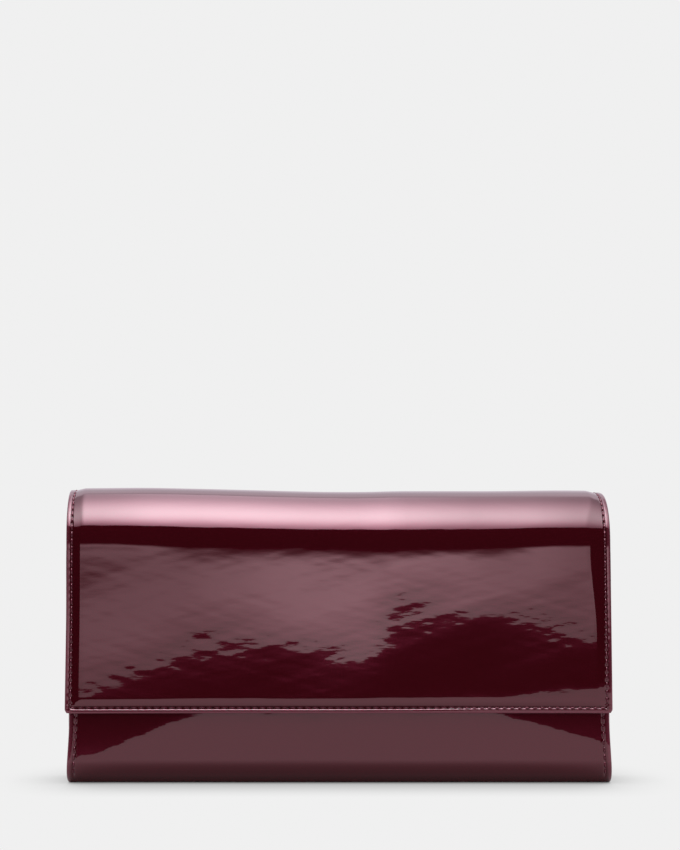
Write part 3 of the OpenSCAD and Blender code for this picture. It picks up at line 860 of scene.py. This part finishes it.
def put_on_points(tree, g_in, g_out, piece, along_axis):
    """Places the piece on every point: its Z follows the point's up and its along_axis the point's along."""
    nodes, links = tree.nodes, tree.links
    turn = nodes.new("FunctionNodeAxesToRotation")
    turn.primary_axis, turn.secondary_axis = "Z", along_axis
    for socket, label in (("Primary Axis", "up"), ("Secondary Axis", "along")):
        attribute = nodes.new("GeometryNodeInputNamedAttribute")
        attribute.data_type = "FLOAT_VECTOR"
        attribute.inputs["Name"].default_value = label
        links.new(attribute.outputs["Attribute"], turn.inputs[socket])
    copies = nodes.new("GeometryNodeInstanceOnPoints")
    links.new(g_in.outputs["Geometry"], copies.inputs["Points"])
    links.new(piece, copies.inputs["Instance"])
    links.new(turn.outputs[0], copies.inputs["Rotation"])
    real = nodes.new("GeometryNodeRealizeInstances")
    paint = nodes.new("GeometryNodeSetMaterial")
    links.new(copies.outputs[0], real.inputs[0])
    links.new(real.outputs[0], paint.inputs[0])
    links.new(g_in.outputs["Material"], paint.inputs["Material"])
    links.new(paint.outputs[0], g_out.inputs[0])


def make_stitch_tree():
    """One stitch of thread on every point. It arches up between its two holes and thins into them."""
    tree, g_in, g_out = new_growing_tree("stitches on points", ("Stitch Length", "Thread Radius", "Arch"))
    nodes, links = tree.nodes, tree.links
    thread = nodes.new("GeometryNodeCurvePrimitiveLine")
    half = add_math(tree, "MULTIPLY", g_in.outputs["Stitch Length"], 0.5)
    for socket, sign in (("Start", -1), ("End", 1)):
        links.new(joined_xyz(tree, X=add_math(tree, "MULTIPLY", half, sign)), thread.inputs[socket])
    points = nodes.new("GeometryNodeResampleCurve")
    points.inputs["Count"].default_value = 8
    links.new(thread.outputs[0], points.inputs["Curve"])

    # share runs from -1 to 1 along the stitch, and fall from 0 in its middle to 1 at both holes
    span = nodes.new("GeometryNodeSplineParameter").outputs["Factor"]
    share = add_math(tree, "MULTIPLY_ADD", span, 2.0, -1.0)
    fall = add_math(tree, "POWER", add_math(tree, "ABSOLUTE", share), 2.4)
    drop = add_math(tree, "MULTIPLY", fall, add_math(tree, "MULTIPLY", g_in.outputs["Arch"], -1.0))
    arch = nodes.new("GeometryNodeSetPosition")
    links.new(points.outputs[0], arch.inputs["Geometry"])
    links.new(joined_xyz(tree, Z=drop), arch.inputs["Offset"])
    profile = nodes.new("GeometryNodeCurvePrimitiveCircle")
    profile.inputs["Resolution"].default_value = 8
    links.new(g_in.outputs["Thread Radius"], profile.inputs["Radius"])
    solid = nodes.new("GeometryNodeCurveToMesh")
    solid.inputs["Fill Caps"].default_value = True
    links.new(arch.outputs[0], solid.inputs["Curve"])
    links.new(profile.outputs[0], solid.inputs["Profile Curve"])
    links.new(add_math(tree, "MULTIPLY_ADD", fall, -0.45, 1.0), solid.inputs["Scale"])
    shaded = nodes.new("GeometryNodeSetShadeSmooth")
    links.new(solid.outputs[0], shaded.inputs[0])
    put_on_points(tree, g_in, g_out, shaded.outputs[0], "X")
    return tree


STITCH_TREE = make_stitch_tree()


def grown(name, tree, points, vectors, values, material):
    """A plain mesh object from a geometry nodes tree run on a cloud of points.

    vectors is {attribute: (n, 3) array} and values is {input name: value}.
    """
    cloud = bpy.data.meshes.new(name)
    cloud.from_pydata([tuple(p) for p in points], [], [])
    for label, data in vectors.items():
        attribute = cloud.attributes.new(label, "FLOAT_VECTOR", "POINT")
        attribute.data.foreach_set("vector", np.asarray(data, np.float32).ravel())
    source = link(bpy.data.objects.new(name, cloud))
    modifier = source.modifiers.new("grow", "NODES")
    modifier.node_group = tree
    sockets = {i.name: i.identifier for i in tree.interface.items_tree if i.in_out == "INPUT"}
    for label, value in values.items():
        modifier[sockets[label]] = value
    modifier[sockets["Material"]] = material
    evaluated = source.evaluated_get(bpy.context.evaluated_depsgraph_get())
    mesh = bpy.data.meshes.new_from_object(evaluated)
    source.modifiers.clear()
    source.data = mesh
    for attribute in [a for a in mesh.attributes if a.name in vectors]:
        mesh.attributes.remove(attribute)
    return source


def seam_points(view, relief, x_of, s_of, t):
    """Stitch middles and directions along a seam given by x_of(t) and s_of(t), on a skin's own surface."""
    def place(t):
        x, s = x_of(t), s_of(t)
        point, normal = view.at(s)
        h = relief(x, s)
        return np.stack([x, point[:, 0] + normal[:, 0] * h, point[:, 1] + normal[:, 1] * h], 1), normal

    here, normal = place(t)
    ahead, _ = place(t + 0.1 * MM)
    along = ahead - here
    along /= np.linalg.norm(along, axis=1)[:, None]
    up = np.concatenate([np.zeros((len(t), 1)), normal], 1)
    return here, along, up


def stitches(name, view, seams):
    """The stitches of one skin's seams. seams is a list of (relief, x_of, s_of, t)."""
    points, alongs, ups = [], [], []
    for relief, x_of, s_of, t in seams:
        here, along, up = seam_points(view, relief, x_of, s_of, t)
        points.append(here + up * STITCH_LIFT)
        alongs.append(along)
        ups.append(up)
    obj = grown(
        name, STITCH_TREE, np.concatenate(points),
        {"along": np.concatenate(alongs), "up": np.concatenate(ups)},
        {"Stitch Length": STITCH_LENGTH, "Thread Radius": THREAD, "Arch": STITCH_ARCH}, THREAD_RED)
    return obj


def side_seam(side, edges, inset=SEAM_INSET):
    """x and s along a side seam. side is 0 for the left and 1 for the right."""
    return (lambda t: edges(t)[side] + (inset if side == 0 else -inset)), (lambda t: t)


side_t = FLAP_SEAM_S - PITCH * np.arange(1, int(FLAP_SEAM_S / PITCH))
bottom_n = int((HALF_FLAP - SEAM_INSET) / PITCH)
bottom_t = PITCH * np.arange(-bottom_n, bottom_n + 1)
flap_stitches = stitches("stitches_flap", FLAP_VIEW, [
    (flap_relief, *side_seam(0, flap_square_edges), side_t),
    (flap_relief, *side_seam(1, flap_square_edges), side_t),
    (flap_relief, lambda t: t, lambda t: np.full_like(t, FLAP_SEAM_S), bottom_t),
])
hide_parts("stitching_flap", "stitching_roll")

back_t = PITCH * np.arange(1, int((BACK_VIEW.length - 14 * MM) / PITCH)) - FLAP_SEAM_S % PITCH
back_stitches = stitches("stitches_back", BACK_VIEW, [
    (back_relief, *side_seam(side, back_edges), back_t) for side in (0, 1)])
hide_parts("stitching_back")

front_t = PITCH * np.arange(1, int(FRONT_TOP / PITCH))
front_stitches = stitches("stitches_front", FRONT_VIEW, [
    (front_relief, *side_seam(side, front_edges, FRONT_INSET), front_t) for side in (0, 1)])
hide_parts("stitching_front")


# ---------------------------------------------------------------- which body each skin follows

def follow_back(obj):
    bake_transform(obj, "back", "flap_roll", start=(0, HALF_DEPTH, HINGE_Z - 0.5 * MM),
             end=(0, HALF_DEPTH, TOP - BACK_TURN))


def follow_flap(obj):
    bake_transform(obj, "flap_roll", "flap", start=(0, -HALF_DEPTH, HINGE_Z + 0.5 * MM),
             end=(0, -HALF_DEPTH, HINGE_Z - 11 * MM))


def follow_front(obj):
    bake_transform(obj, "back", "front", start=(0, OPEN_Y + 1 * MM, 0), end=(0, OPEN_Y - 4 * MM, 2 * MM))


for obj in (skin_flap, flap_stitches):
    follow_flap(obj)
for obj in (skin_back, back_stitches):
    follow_back(obj)
for obj in (skin_front, front_stitches):
    follow_front(obj)


# ---------------------------------------------------------------- linings

BOARD_HALF = HALF_BODY - 4.5 * MM
LINING_SET = 0.6 * MM                    # how far a lining stops short of its skin's edge
LINING_RIPPLE = 0.1                      # share of the leather's unevenness that linings and cards show


def beside_board(x):
    """0 over the hidden board, 1 in the border beside it."""
    return smooth((np.abs(x) - BOARD_HALF) / (1.2 * MM))


def lining_flap_relief(x, s):
    """In the border, beside and below the board, the lining comes up to the skin."""
    end_z = LINING_FLAP_VIEW.length - s
    border = np.maximum(beside_board(x), smooth((4.6 * MM - end_z) / (1.2 * MM)))
    return 0.75 * MM * border + LINING_RIPPLE * ripple(x, s)


def lining_back_relief(x, s):
    """The lining comes up to the skin beside the board and stands off it a little along the roll."""
    roll = 1 - smooth((s - 12 * MM) / (8 * MM))
    return 0.55 * MM * beside_board(x) - 0.2 * MM * roll + LINING_RIPPLE * ripple(x, s)


def narrowed(edges):
    """Side edges for a lining under a skin whose edges function is given."""
    def edge_pair(s):
        left, right = edges(s)
        return left + LINING_SET, right - LINING_SET
    return edge_pair


LINING_FLAP_VIEW = flap_side_view(1.8 * MM, FLAP_END_Z + LINING_SET)
lining_flap = leather_sheet(
    "lining_over_flap", LINING_FLAP_VIEW, narrowed(flap_edges), lining_flap_relief, 0.5 * MM, TWILL,
    spaced(LINING_FLAP_VIEW.length, 0.9 * MM), columns_for(HALF_FLAP, 1.8 * MM), cuts=(0,), coarse=1)
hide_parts("flap_lining", "roll_lining")
follow_flap(lining_flap)

LINING_BACK_VIEW = back_side_view(1.6 * MM, OPEN_Y + 1 * MM)
lining_back = leather_sheet(
    "lining_over_back", LINING_BACK_VIEW, narrowed(back_edges), lining_back_relief, 0.4 * MM, TWILL,
    spaced(LINING_BACK_VIEW.length, 0.9 * MM), columns_for(HALF_BODY, 1.8 * MM), cuts=(0,), coarse=1)
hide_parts("lining_back", "lining_base")
follow_back(lining_back)


# ---------------------------------------------------------------- card slots

CREASE = 1.6 * MM                        # from a card strip's edge to its pressed line


def card_strip(node, outward):
    """A card strip as one turned-edge sheet, with a pressed line inside its edge and a seam down its middle.

    outward is the sign of Y on the side that shows.
    """
    low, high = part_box(node)
    y = low.y if outward < 0 else high.y
    view = SideView(line((y, high.z), (y, low.z), (outward, 0)))
    half = high.x

    def edges(s):
        return np.full_like(s, -half), np.full_like(s, half)

    def relief(x, s):
        from_line = np.minimum(np.abs(s - CREASE), half - np.abs(x) - CREASE)
        pressed = -0.1 * MM * np.exp(-(from_line / (0.28 * MM)) ** 2) * (s < 12 * MM)
        divider = -0.14 * MM * np.exp(-(x / (0.45 * MM)) ** 2) * (s > 0.6 * MM)
        return pressed + divider + LINING_RIPPLE * ripple(x + y * 9, s)

    columns = spaced(2 * half, 3 * MM, fine=(CREASE, half, 2 * half - CREASE), reach=0.9 * MM) / half - 1
    rows = spaced(view.length, 3 * MM, fine=(CREASE,), reach=0.9 * MM)
    obj = leather_sheet(node + "_sheet", view, edges, relief, 0.45 * MM, CALF, rows, columns, coarse=1)
    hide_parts(node)
    return obj


for n in (1, 2, 3, 4):
    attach(card_strip(f"rear_card_strip_{n}", -1), "back")
for n in (1, 2, 3):
    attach(card_strip(f"front_card_strip_{n}", 1), "front")


# ---------------------------------------------------------------- softened copies of the small pieces

def softened(node, width):
    """A copy of a plain piece with its sharp edges rounded."""
    source = frame["nodes"][node]
    b = bmesh.new()
    b.from_mesh(source.data)
    b.transform(source.matrix_world)
    bmesh.ops.remove_doubles(b, verts=b.verts, dist=1e-6)
    bmesh.ops.dissolve_limit(b, angle_limit=math.radians(2), verts=b.verts, edges=b.edges)
    sharp = [e for e in b.edges if e.is_manifold and e.calc_face_angle(0) > math.radians(35)]
    bmesh.ops.bevel(b, geom=sharp, offset=width, offset_type="OFFSET", segments=2, profile=0.5,
                    affect="EDGES", clamp_overlap=True)
    bmesh.ops.recalc_face_normals(b, faces=b.faces)
    mesh = bpy.data.meshes.new(node + "_soft")
    b.to_mesh(mesh)
    b.free()
    mesh.shade_smooth()
    mesh.set_sharp_from_angle(angle=math.radians(40))
    slot = SLOT_OF[node]
    mesh.materials.append(SLOT_MATERIAL[slot])
    obj = link(bpy.data.objects.new(node + "_soft", mesh))
    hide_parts(node)
    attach(obj, body_of(source)[0])
    return obj


for node, width in (                      # the widths of the rounded edges are in mm
        ("rear_card_panel", 0.1), ("front_card_panel", 0.1), ("lining_front", 0.12),
        ("pocket_wall_rear", 0.2), ("pocket_wall_front", 0.2), ("pocket_base", 0.15),
        ("pocket_end_left", 0.2), ("pocket_end_right", 0.2),
        ("pocket_welt_rear", 0.28), ("pocket_welt_front", 0.28),
        ("zip_slider_body", 0.25), ("zip_slider_bail", 0.22), ("zip_stops", 0.3),
        ("puller_link", 0.2), ("puller_tab", 0.35), ("puller_rivet", 0.25)):
    softened(node, width * MM)


# ---------------------------------------------------------------- zip teeth

def moved(tree, geometry, offset):
    node = tree.nodes.new("GeometryNodeTransform")
    tree.links.new(geometry, node.inputs["Geometry"])
    tree.links.new(offset, node.inputs["Translation"])
    return node.outputs[0]


def make_tooth_tree():
    """One zip tooth on every point: a block, with a low cylinder as its head at the meshing end."""
    tree, g_in, g_out = new_growing_tree("teeth on points", ("Width", "Depth", "Height"))
    nodes, links = tree.nodes, tree.links

    def share(label, part):
        return add_math(tree, "MULTIPLY", g_in.outputs[label], part)

    block = nodes.new("GeometryNodeMeshCube")
    size = joined_xyz(tree, X=share("Width", 0.72), Y=share("Depth", 0.7), Z=share("Height", 0.86))
    links.new(size, block.inputs["Size"])
    head = nodes.new("GeometryNodeMeshCylinder")
    head.inputs["Vertices"].default_value = 12
    links.new(share("Width", 0.5), head.inputs["Radius"])
    links.new(g_in.outputs["Height"], head.inputs["Depth"])
    reach = add_math(tree, "SUBTRACT", share("Depth", 0.5), share("Width", 0.5))
    tooth = nodes.new("GeometryNodeJoinGeometry")
    links.new(moved(tree, head.outputs["Mesh"], joined_xyz(tree, Y=reach)), tooth.inputs[0])
    links.new(moved(tree, block.outputs["Mesh"], joined_xyz(tree, Y=share("Depth", -0.15))), tooth.inputs[0])
    put_on_points(tree, g_in, g_out, tooth.outputs[0], "Y")
    return tree


TOOTH_TREE = make_tooth_tree()
TOOTH_PITCH = 2 * MM
TOOTH_WIDTH = 1.1 * MM
for node, heading in (("zip_teeth_rear", -1), ("zip_teeth_front", 1)):
    low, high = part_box(node)
    count = int(round((high.x - low.x) / TOOTH_PITCH))
    middle = (low + high) / 2
    points = [(low.x + TOOTH_WIDTH / 2 + TOOTH_PITCH * k, middle.y, middle.z) for k in range(count)]
    teeth = grown(node + "_row", TOOTH_TREE, points,
                  {"up": [(0, 0, 1)] * count, "along": [(0, heading, 0)] * count},
                  {"Width": TOOTH_WIDTH, "Depth": high.y - low.y, "Height": high.z - low.z}, GOLD)
    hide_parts(node)
    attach(teeth, "coin_pocket")


# ---------------------------------------------------------------- gussets

GUSSET_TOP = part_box("gusset_right")[1].z
GUSSET_HALF = 0.3 * MM                   # half the gusset leather's thickness
GUSSET_LEVELS = np.concatenate([[0, 0.004], np.linspace(0.02, 0.98, 24), [0.996, 1]])
POCKET_Y = (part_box("pocket_wall_rear")[1].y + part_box("pocket_wall_front")[0].y) / 2
REAR_GAP_Y = (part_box("rear_card_strip_4")[0].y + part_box("pocket_wall_rear")[1].y) / 2
FRONT_GAP_Y = (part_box("front_card_strip_3")[1].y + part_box("pocket_wall_front")[0].y) / 2
BACK_INNER = 11.9 * MM                   # inner faces of the lined walls that the gusset is sewn to
FRONT_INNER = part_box("lining_front")[1].y + 0.1 * MM
PLEAT_OUT = HALF_BODY - 1.8 * MM
PLEAT_IN = HALF_BODY - 11 * MM
PLEATS = [(PLEAT_OUT, BACK_INNER), (PLEAT_IN, REAR_GAP_Y), (PLEAT_OUT, POCKET_Y),
          (PLEAT_IN, FRONT_GAP_Y), (PLEAT_OUT, FRONT_INNER)]
INSIDE_BASE = 2.3 * MM                   # height of the lined base inside the wallet
INSIDE_TOE = TOE - 2.2 * MM              # radii inside the turns of the leather, at the front and at the back
INSIDE_HEEL = HEEL - 2 * MM


def rounded_path(points, reach, steps=6):
    """A 2-D path whose inner corners are rounded, with extra points on its straight stretches."""
    points = [np.array(p, float) for p in points]
    path = [points[0]]
    for before, corner, after in zip(points, points[1:], points[2:]):
        a = corner + (before - corner) / np.linalg.norm(before - corner) * reach
        c = corner + (after - corner) / np.linalg.norm(after - corner) * reach
        path += [path[-1] + (a - path[-1]) * k / 4 for k in (1, 2, 3)]
        path += [(1 - t) ** 2 * a + 2 * t * (1 - t) * corner + t ** 2 * c for t in np.linspace(0, 1, steps)]
    path += [path[-1] + (points[-1] - path[-1]) * k / 4 for k in (1, 2, 3, 4)]
    return np.array(path)


def gusset_foot(y):
    """Height of the gusset's lower edge at depth y: on the base, and up inside the toe and the heel."""
    toe = np.clip(OPEN_Y - y, 0, INSIDE_TOE - 0.2 * MM)
    foot = np.where(y < OPEN_Y, OPEN_Z - np.sqrt(INSIDE_TOE ** 2 - toe ** 2), INSIDE_BASE)
    heel_y = HALF_DEPTH - HEEL
    heel = np.clip(y - heel_y, 0, INSIDE_HEEL - 0.1 * MM)
    return np.maximum(foot, np.where(y > heel_y, HEEL - np.sqrt(INSIDE_HEEL ** 2 - heel ** 2), 0))


def gusset(side):
    """A pleated side wall, sewn to both walls and to the coin pocket, that reaches down to the base."""
    path = rounded_path(PLEATS, 1.0 * MM)
    tangent = np.gradient(path, axis=0)
    tangent /= np.linalg.norm(tangent, axis=1)[:, None]
    normal = np.stack([tangent[:, 1], -tangent[:, 0]], 1) * GUSSET_HALF
    outline = np.concatenate([path + normal, (path - normal)[::-1]])
    foot = gusset_foot(np.concatenate([path, path[::-1]])[:, 1])
    verts, faces = [], []
    for t in GUSSET_LEVELS:
        verts += [(side * x, y, z) for (x, y), z in zip(outline, foot + (GUSSET_TOP - foot) * t)]
    n = len(outline)
    last = (len(GUSSET_LEVELS) - 1) * n
    for a in range(0, last, n):
        faces += [(a + i, a + (i + 1) % n, a + n + (i + 1) % n, a + n + i) for i in range(n)]
    for a in (0, last):
        faces += [(a + i, a + i + 1, a + n - 2 - i, a + n - 1 - i) for i in range(n // 2 - 1)]
    name = "gusset_pleated_right" if side > 0 else "gusset_pleated_left"
    return mesh_object(name, verts, faces, CALF, sharp_deg=60)


for side, node in ((1, "gusset_right"), (-1, "gusset_left")):
    obj = gusset(side)
    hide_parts(node)
    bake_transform(obj, "back", "front", start=(0, BACK_INNER, 0.04), end=(0, FRONT_INNER, 0.04))


# ---------------------------------------------------------------- studio

def stage_plane(name, corners, material):
    """A flat piece of the studio."""
    mesh = bpy.data.meshes.new(name)
    mesh.from_pydata(corners, [], [tuple(range(len(corners)))])
    mesh.materials.append(material)
    obj = link(bpy.data.objects.new(name, mesh))
    obj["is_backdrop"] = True
    return obj


def glow(name, colour):
    """A material that only glows, at strength 1. Returns it, its node tree and its emission node."""
    material = bpy.data.materials.new(name)
    material.use_nodes = True
    tree = material.node_tree
    tree.nodes.clear()
    emission = tree.nodes.new("ShaderNodeEmission")
    emission.inputs["Color"].default_value = (*colour, 1)
    emission.inputs["Strength"].default_value = 1.0
    output = tree.nodes.new("ShaderNodeOutputMaterial")
    tree.links.new(emission.outputs[0], output.inputs["Surface"])
    return material, tree, emission


PALE = 0.871                             # the pale grey of the floor and the backdrop
FLOOR_FRONT = -0.24                      # the table's front edge, as the gloss sees it


def floor_material():
    """Even pale grey glow with a painted contact shadow close to where the wallet stands, drawn from ambient
    occlusion: tighter for the camera, wider and deeper in reflections.
    """
    material, tree, emission = glow("pale floor", (PALE, PALE, PALE))
    ray = tree.nodes.new("ShaderNodeLightPath")
    pick = tree.nodes.new("ShaderNodeMix")
    tree.links.new(ray.outputs["Is Camera Ray"], pick.inputs["Factor"])
    # Painted contact shadow: ambient occlusion dims the glow near the wallet, lightly for the camera (B) and
    # more deeply in reflections (A).
    for label, reach, power in (("B", 0.03, 0.65), ("A", 0.06, 1.7)):
        near = tree.nodes.new("ShaderNodeAmbientOcclusion")
        near.samples = 16
        near.inputs["Distance"].default_value = reach
        tree.links.new(add_math(tree, "POWER", near.outputs["AO"], power), pick.inputs[label])
    tree.links.new(pick.outputs["Result"], emission.inputs["Strength"])
    return material


FLOOR = floor_material()
stage_plane("floor_near", [(-0.03, FLOOR_FRONT, 0), (1.5, FLOOR_FRONT, 0), (1.5, 1.1, 0), (-1.5, 1.1, 0),
                           (-1.5, -0.15, 0), (-0.13, -0.185, 0), (-0.04, FLOOR_FRONT, 0)], FLOOR)
floor_far = stage_plane(
    "floor_far", [(-3, -3, -0.0005), (3, -3, -0.0005), (3, 3, -0.0005), (-3, 3, -0.0005)], FLOOR)
for ray in ("visible_diffuse", "visible_glossy", "visible_transmission", "visible_shadow"):
    setattr(floor_far, ray, False)


def add_bell(tree, value, centre, width):
    """1 at centre, falling smoothly to 0 on both sides."""
    off = add_math(tree, "DIVIDE", add_math(tree, "SUBTRACT", value, centre), width)
    return add_math(tree, "EXPONENT", add_math(tree, "MULTIPLY", add_math(tree, "MULTIPLY", off, off), -1.0))


def card(name, corners, colour, base, bells, core=None):
    """A glowing card that only reflections and lighting see, of strength base.

    Each of the bells, (axis, centre, width, extra), brightens it by 1 + extra at its centre along an axis.
    core is the colour at the first bell's centre.
    """
    material, tree, emission = glow(name, colour)
    xyz = own_xyz(tree)
    glows = [add_bell(tree, xyz[axis], centre, width) for axis, centre, width, _ in bells]
    if core:
        tree.links.new(mixed_colour(tree, glows[0], colour, core), emission.inputs["Color"])
    level = base
    for bell, (_, _, _, extra) in zip(glows, bells):
        level = add_math(tree, "MULTIPLY", add_math(tree, "MULTIPLY_ADD", bell, extra, 1.0), level)
    tree.links.new(level, emission.inputs["Strength"])
    obj = stage_plane(name, corners, material)
    obj.visible_camera = False
    obj.visible_shadow = False
    return obj


def flat_card(name, x0, x1, y0, y1, z, *rest):
    """A level card. rest is what card takes after its corners."""
    return card(name, [(x0, y0, z), (x1, y0, z), (x1, y1, z), (x0, y1, z)], *rest)


def upright_card(name, x0, x1, y, z0, z1, *rest):
    """An upright card across the view. rest is what card takes after its corners."""
    return card(name, [(x0, y, z0), (x1, y, z0), (x1, y, z1), (x0, y, z1)], *rest)


# Dim panel in front with a soft upper edge, large softbox overhead and a bright card behind
upright_card("front_panel", -0.78, 0.58, -1.5, -0.062, 0.09, (1.0, 0.98, 0.99), 0.76,
             [("X", 0.03, 0.16, 1.08), ("Z", 0.01, 0.045, 0.7), ("Z", 0.09, 0.05, -0.9)])
softbox = flat_card("softbox", -1.0, 0.9, -1.03, 0.62, 0.92, (1.0, 0.84, 0.95), 0.72,
                    [("Y", -0.36, 0.46, 5.2), ("X", -0.06, 0.20, 1.8)], (0.82, 1.0, 0.98))
softbox.visible_diffuse = False
back_card = upright_card("back_card", -1.6, 1.6, 1.2, 0.02, 1.70, (1.0, 0.88, 0.98), 0.40,
                         [("Z", 1.4, 0.6, 2.2), ("Z", 0.4, 0.38, 0.7)])
back_card.visible_diffuse = False


def area_light(name, place, size, power, tilt=(0, 0, 0)):
    """A soft light that gloss doesn't mirror."""
    data = bpy.data.lights.new(name, "AREA")
    data.shape = "RECTANGLE"
    data.size, data.size_y = size
    data.energy = power
    obj = link(bpy.data.objects.new(name, data))
    obj.location = place
    obj.rotation_euler = tilt
    obj.visible_camera = False
    obj.visible_glossy = False
    return obj


area_light("overhead", (0, -0.3, 0.95), (1.4, 1.2), 11)
area_light("front_fill", (0, -1.3, 0.5), (1.4, 0.8), 9, (math.radians(70), 0, 0))


def studio_world():
    """Pale to the camera and nearly dark to everything else, so that the cards do the lighting."""
    world = bpy.data.worlds.new("studio")
    world.use_nodes = True
    tree = world.node_tree
    background = tree.nodes["Background"]
    background.inputs["Color"].default_value = (1, 1, 1, 1)
    ray = tree.nodes.new("ShaderNodeLightPath")
    level = tree.nodes.new("ShaderNodeMix")
    level.inputs["A"].default_value = 0.02
    level.inputs["B"].default_value = PALE
    tree.links.new(ray.outputs["Is Camera Ray"], level.inputs["Factor"])
    tree.links.new(level.outputs["Result"], background.inputs["Strength"])
    return world


scene.world = studio_world()
scene.view_settings.view_transform = "Standard"

CAMERA_DISTANCE = 0.85                   # from the flap
CAMERA_HEIGHT = 0.1287
camera = bpy.data.cameras.new("camera")
camera.lens = 101                        # mm, as is the sensor's width
camera.sensor_width = 36
camera_obj = link(bpy.data.objects.new("camera", camera))
camera_obj.location = (0.7 * MM, -HALF_DEPTH - CAMERA_DISTANCE, CAMERA_HEIGHT)
camera_obj.rotation_euler = (math.radians(90), 0, 0)
scene.camera = camera_obj

low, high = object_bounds()
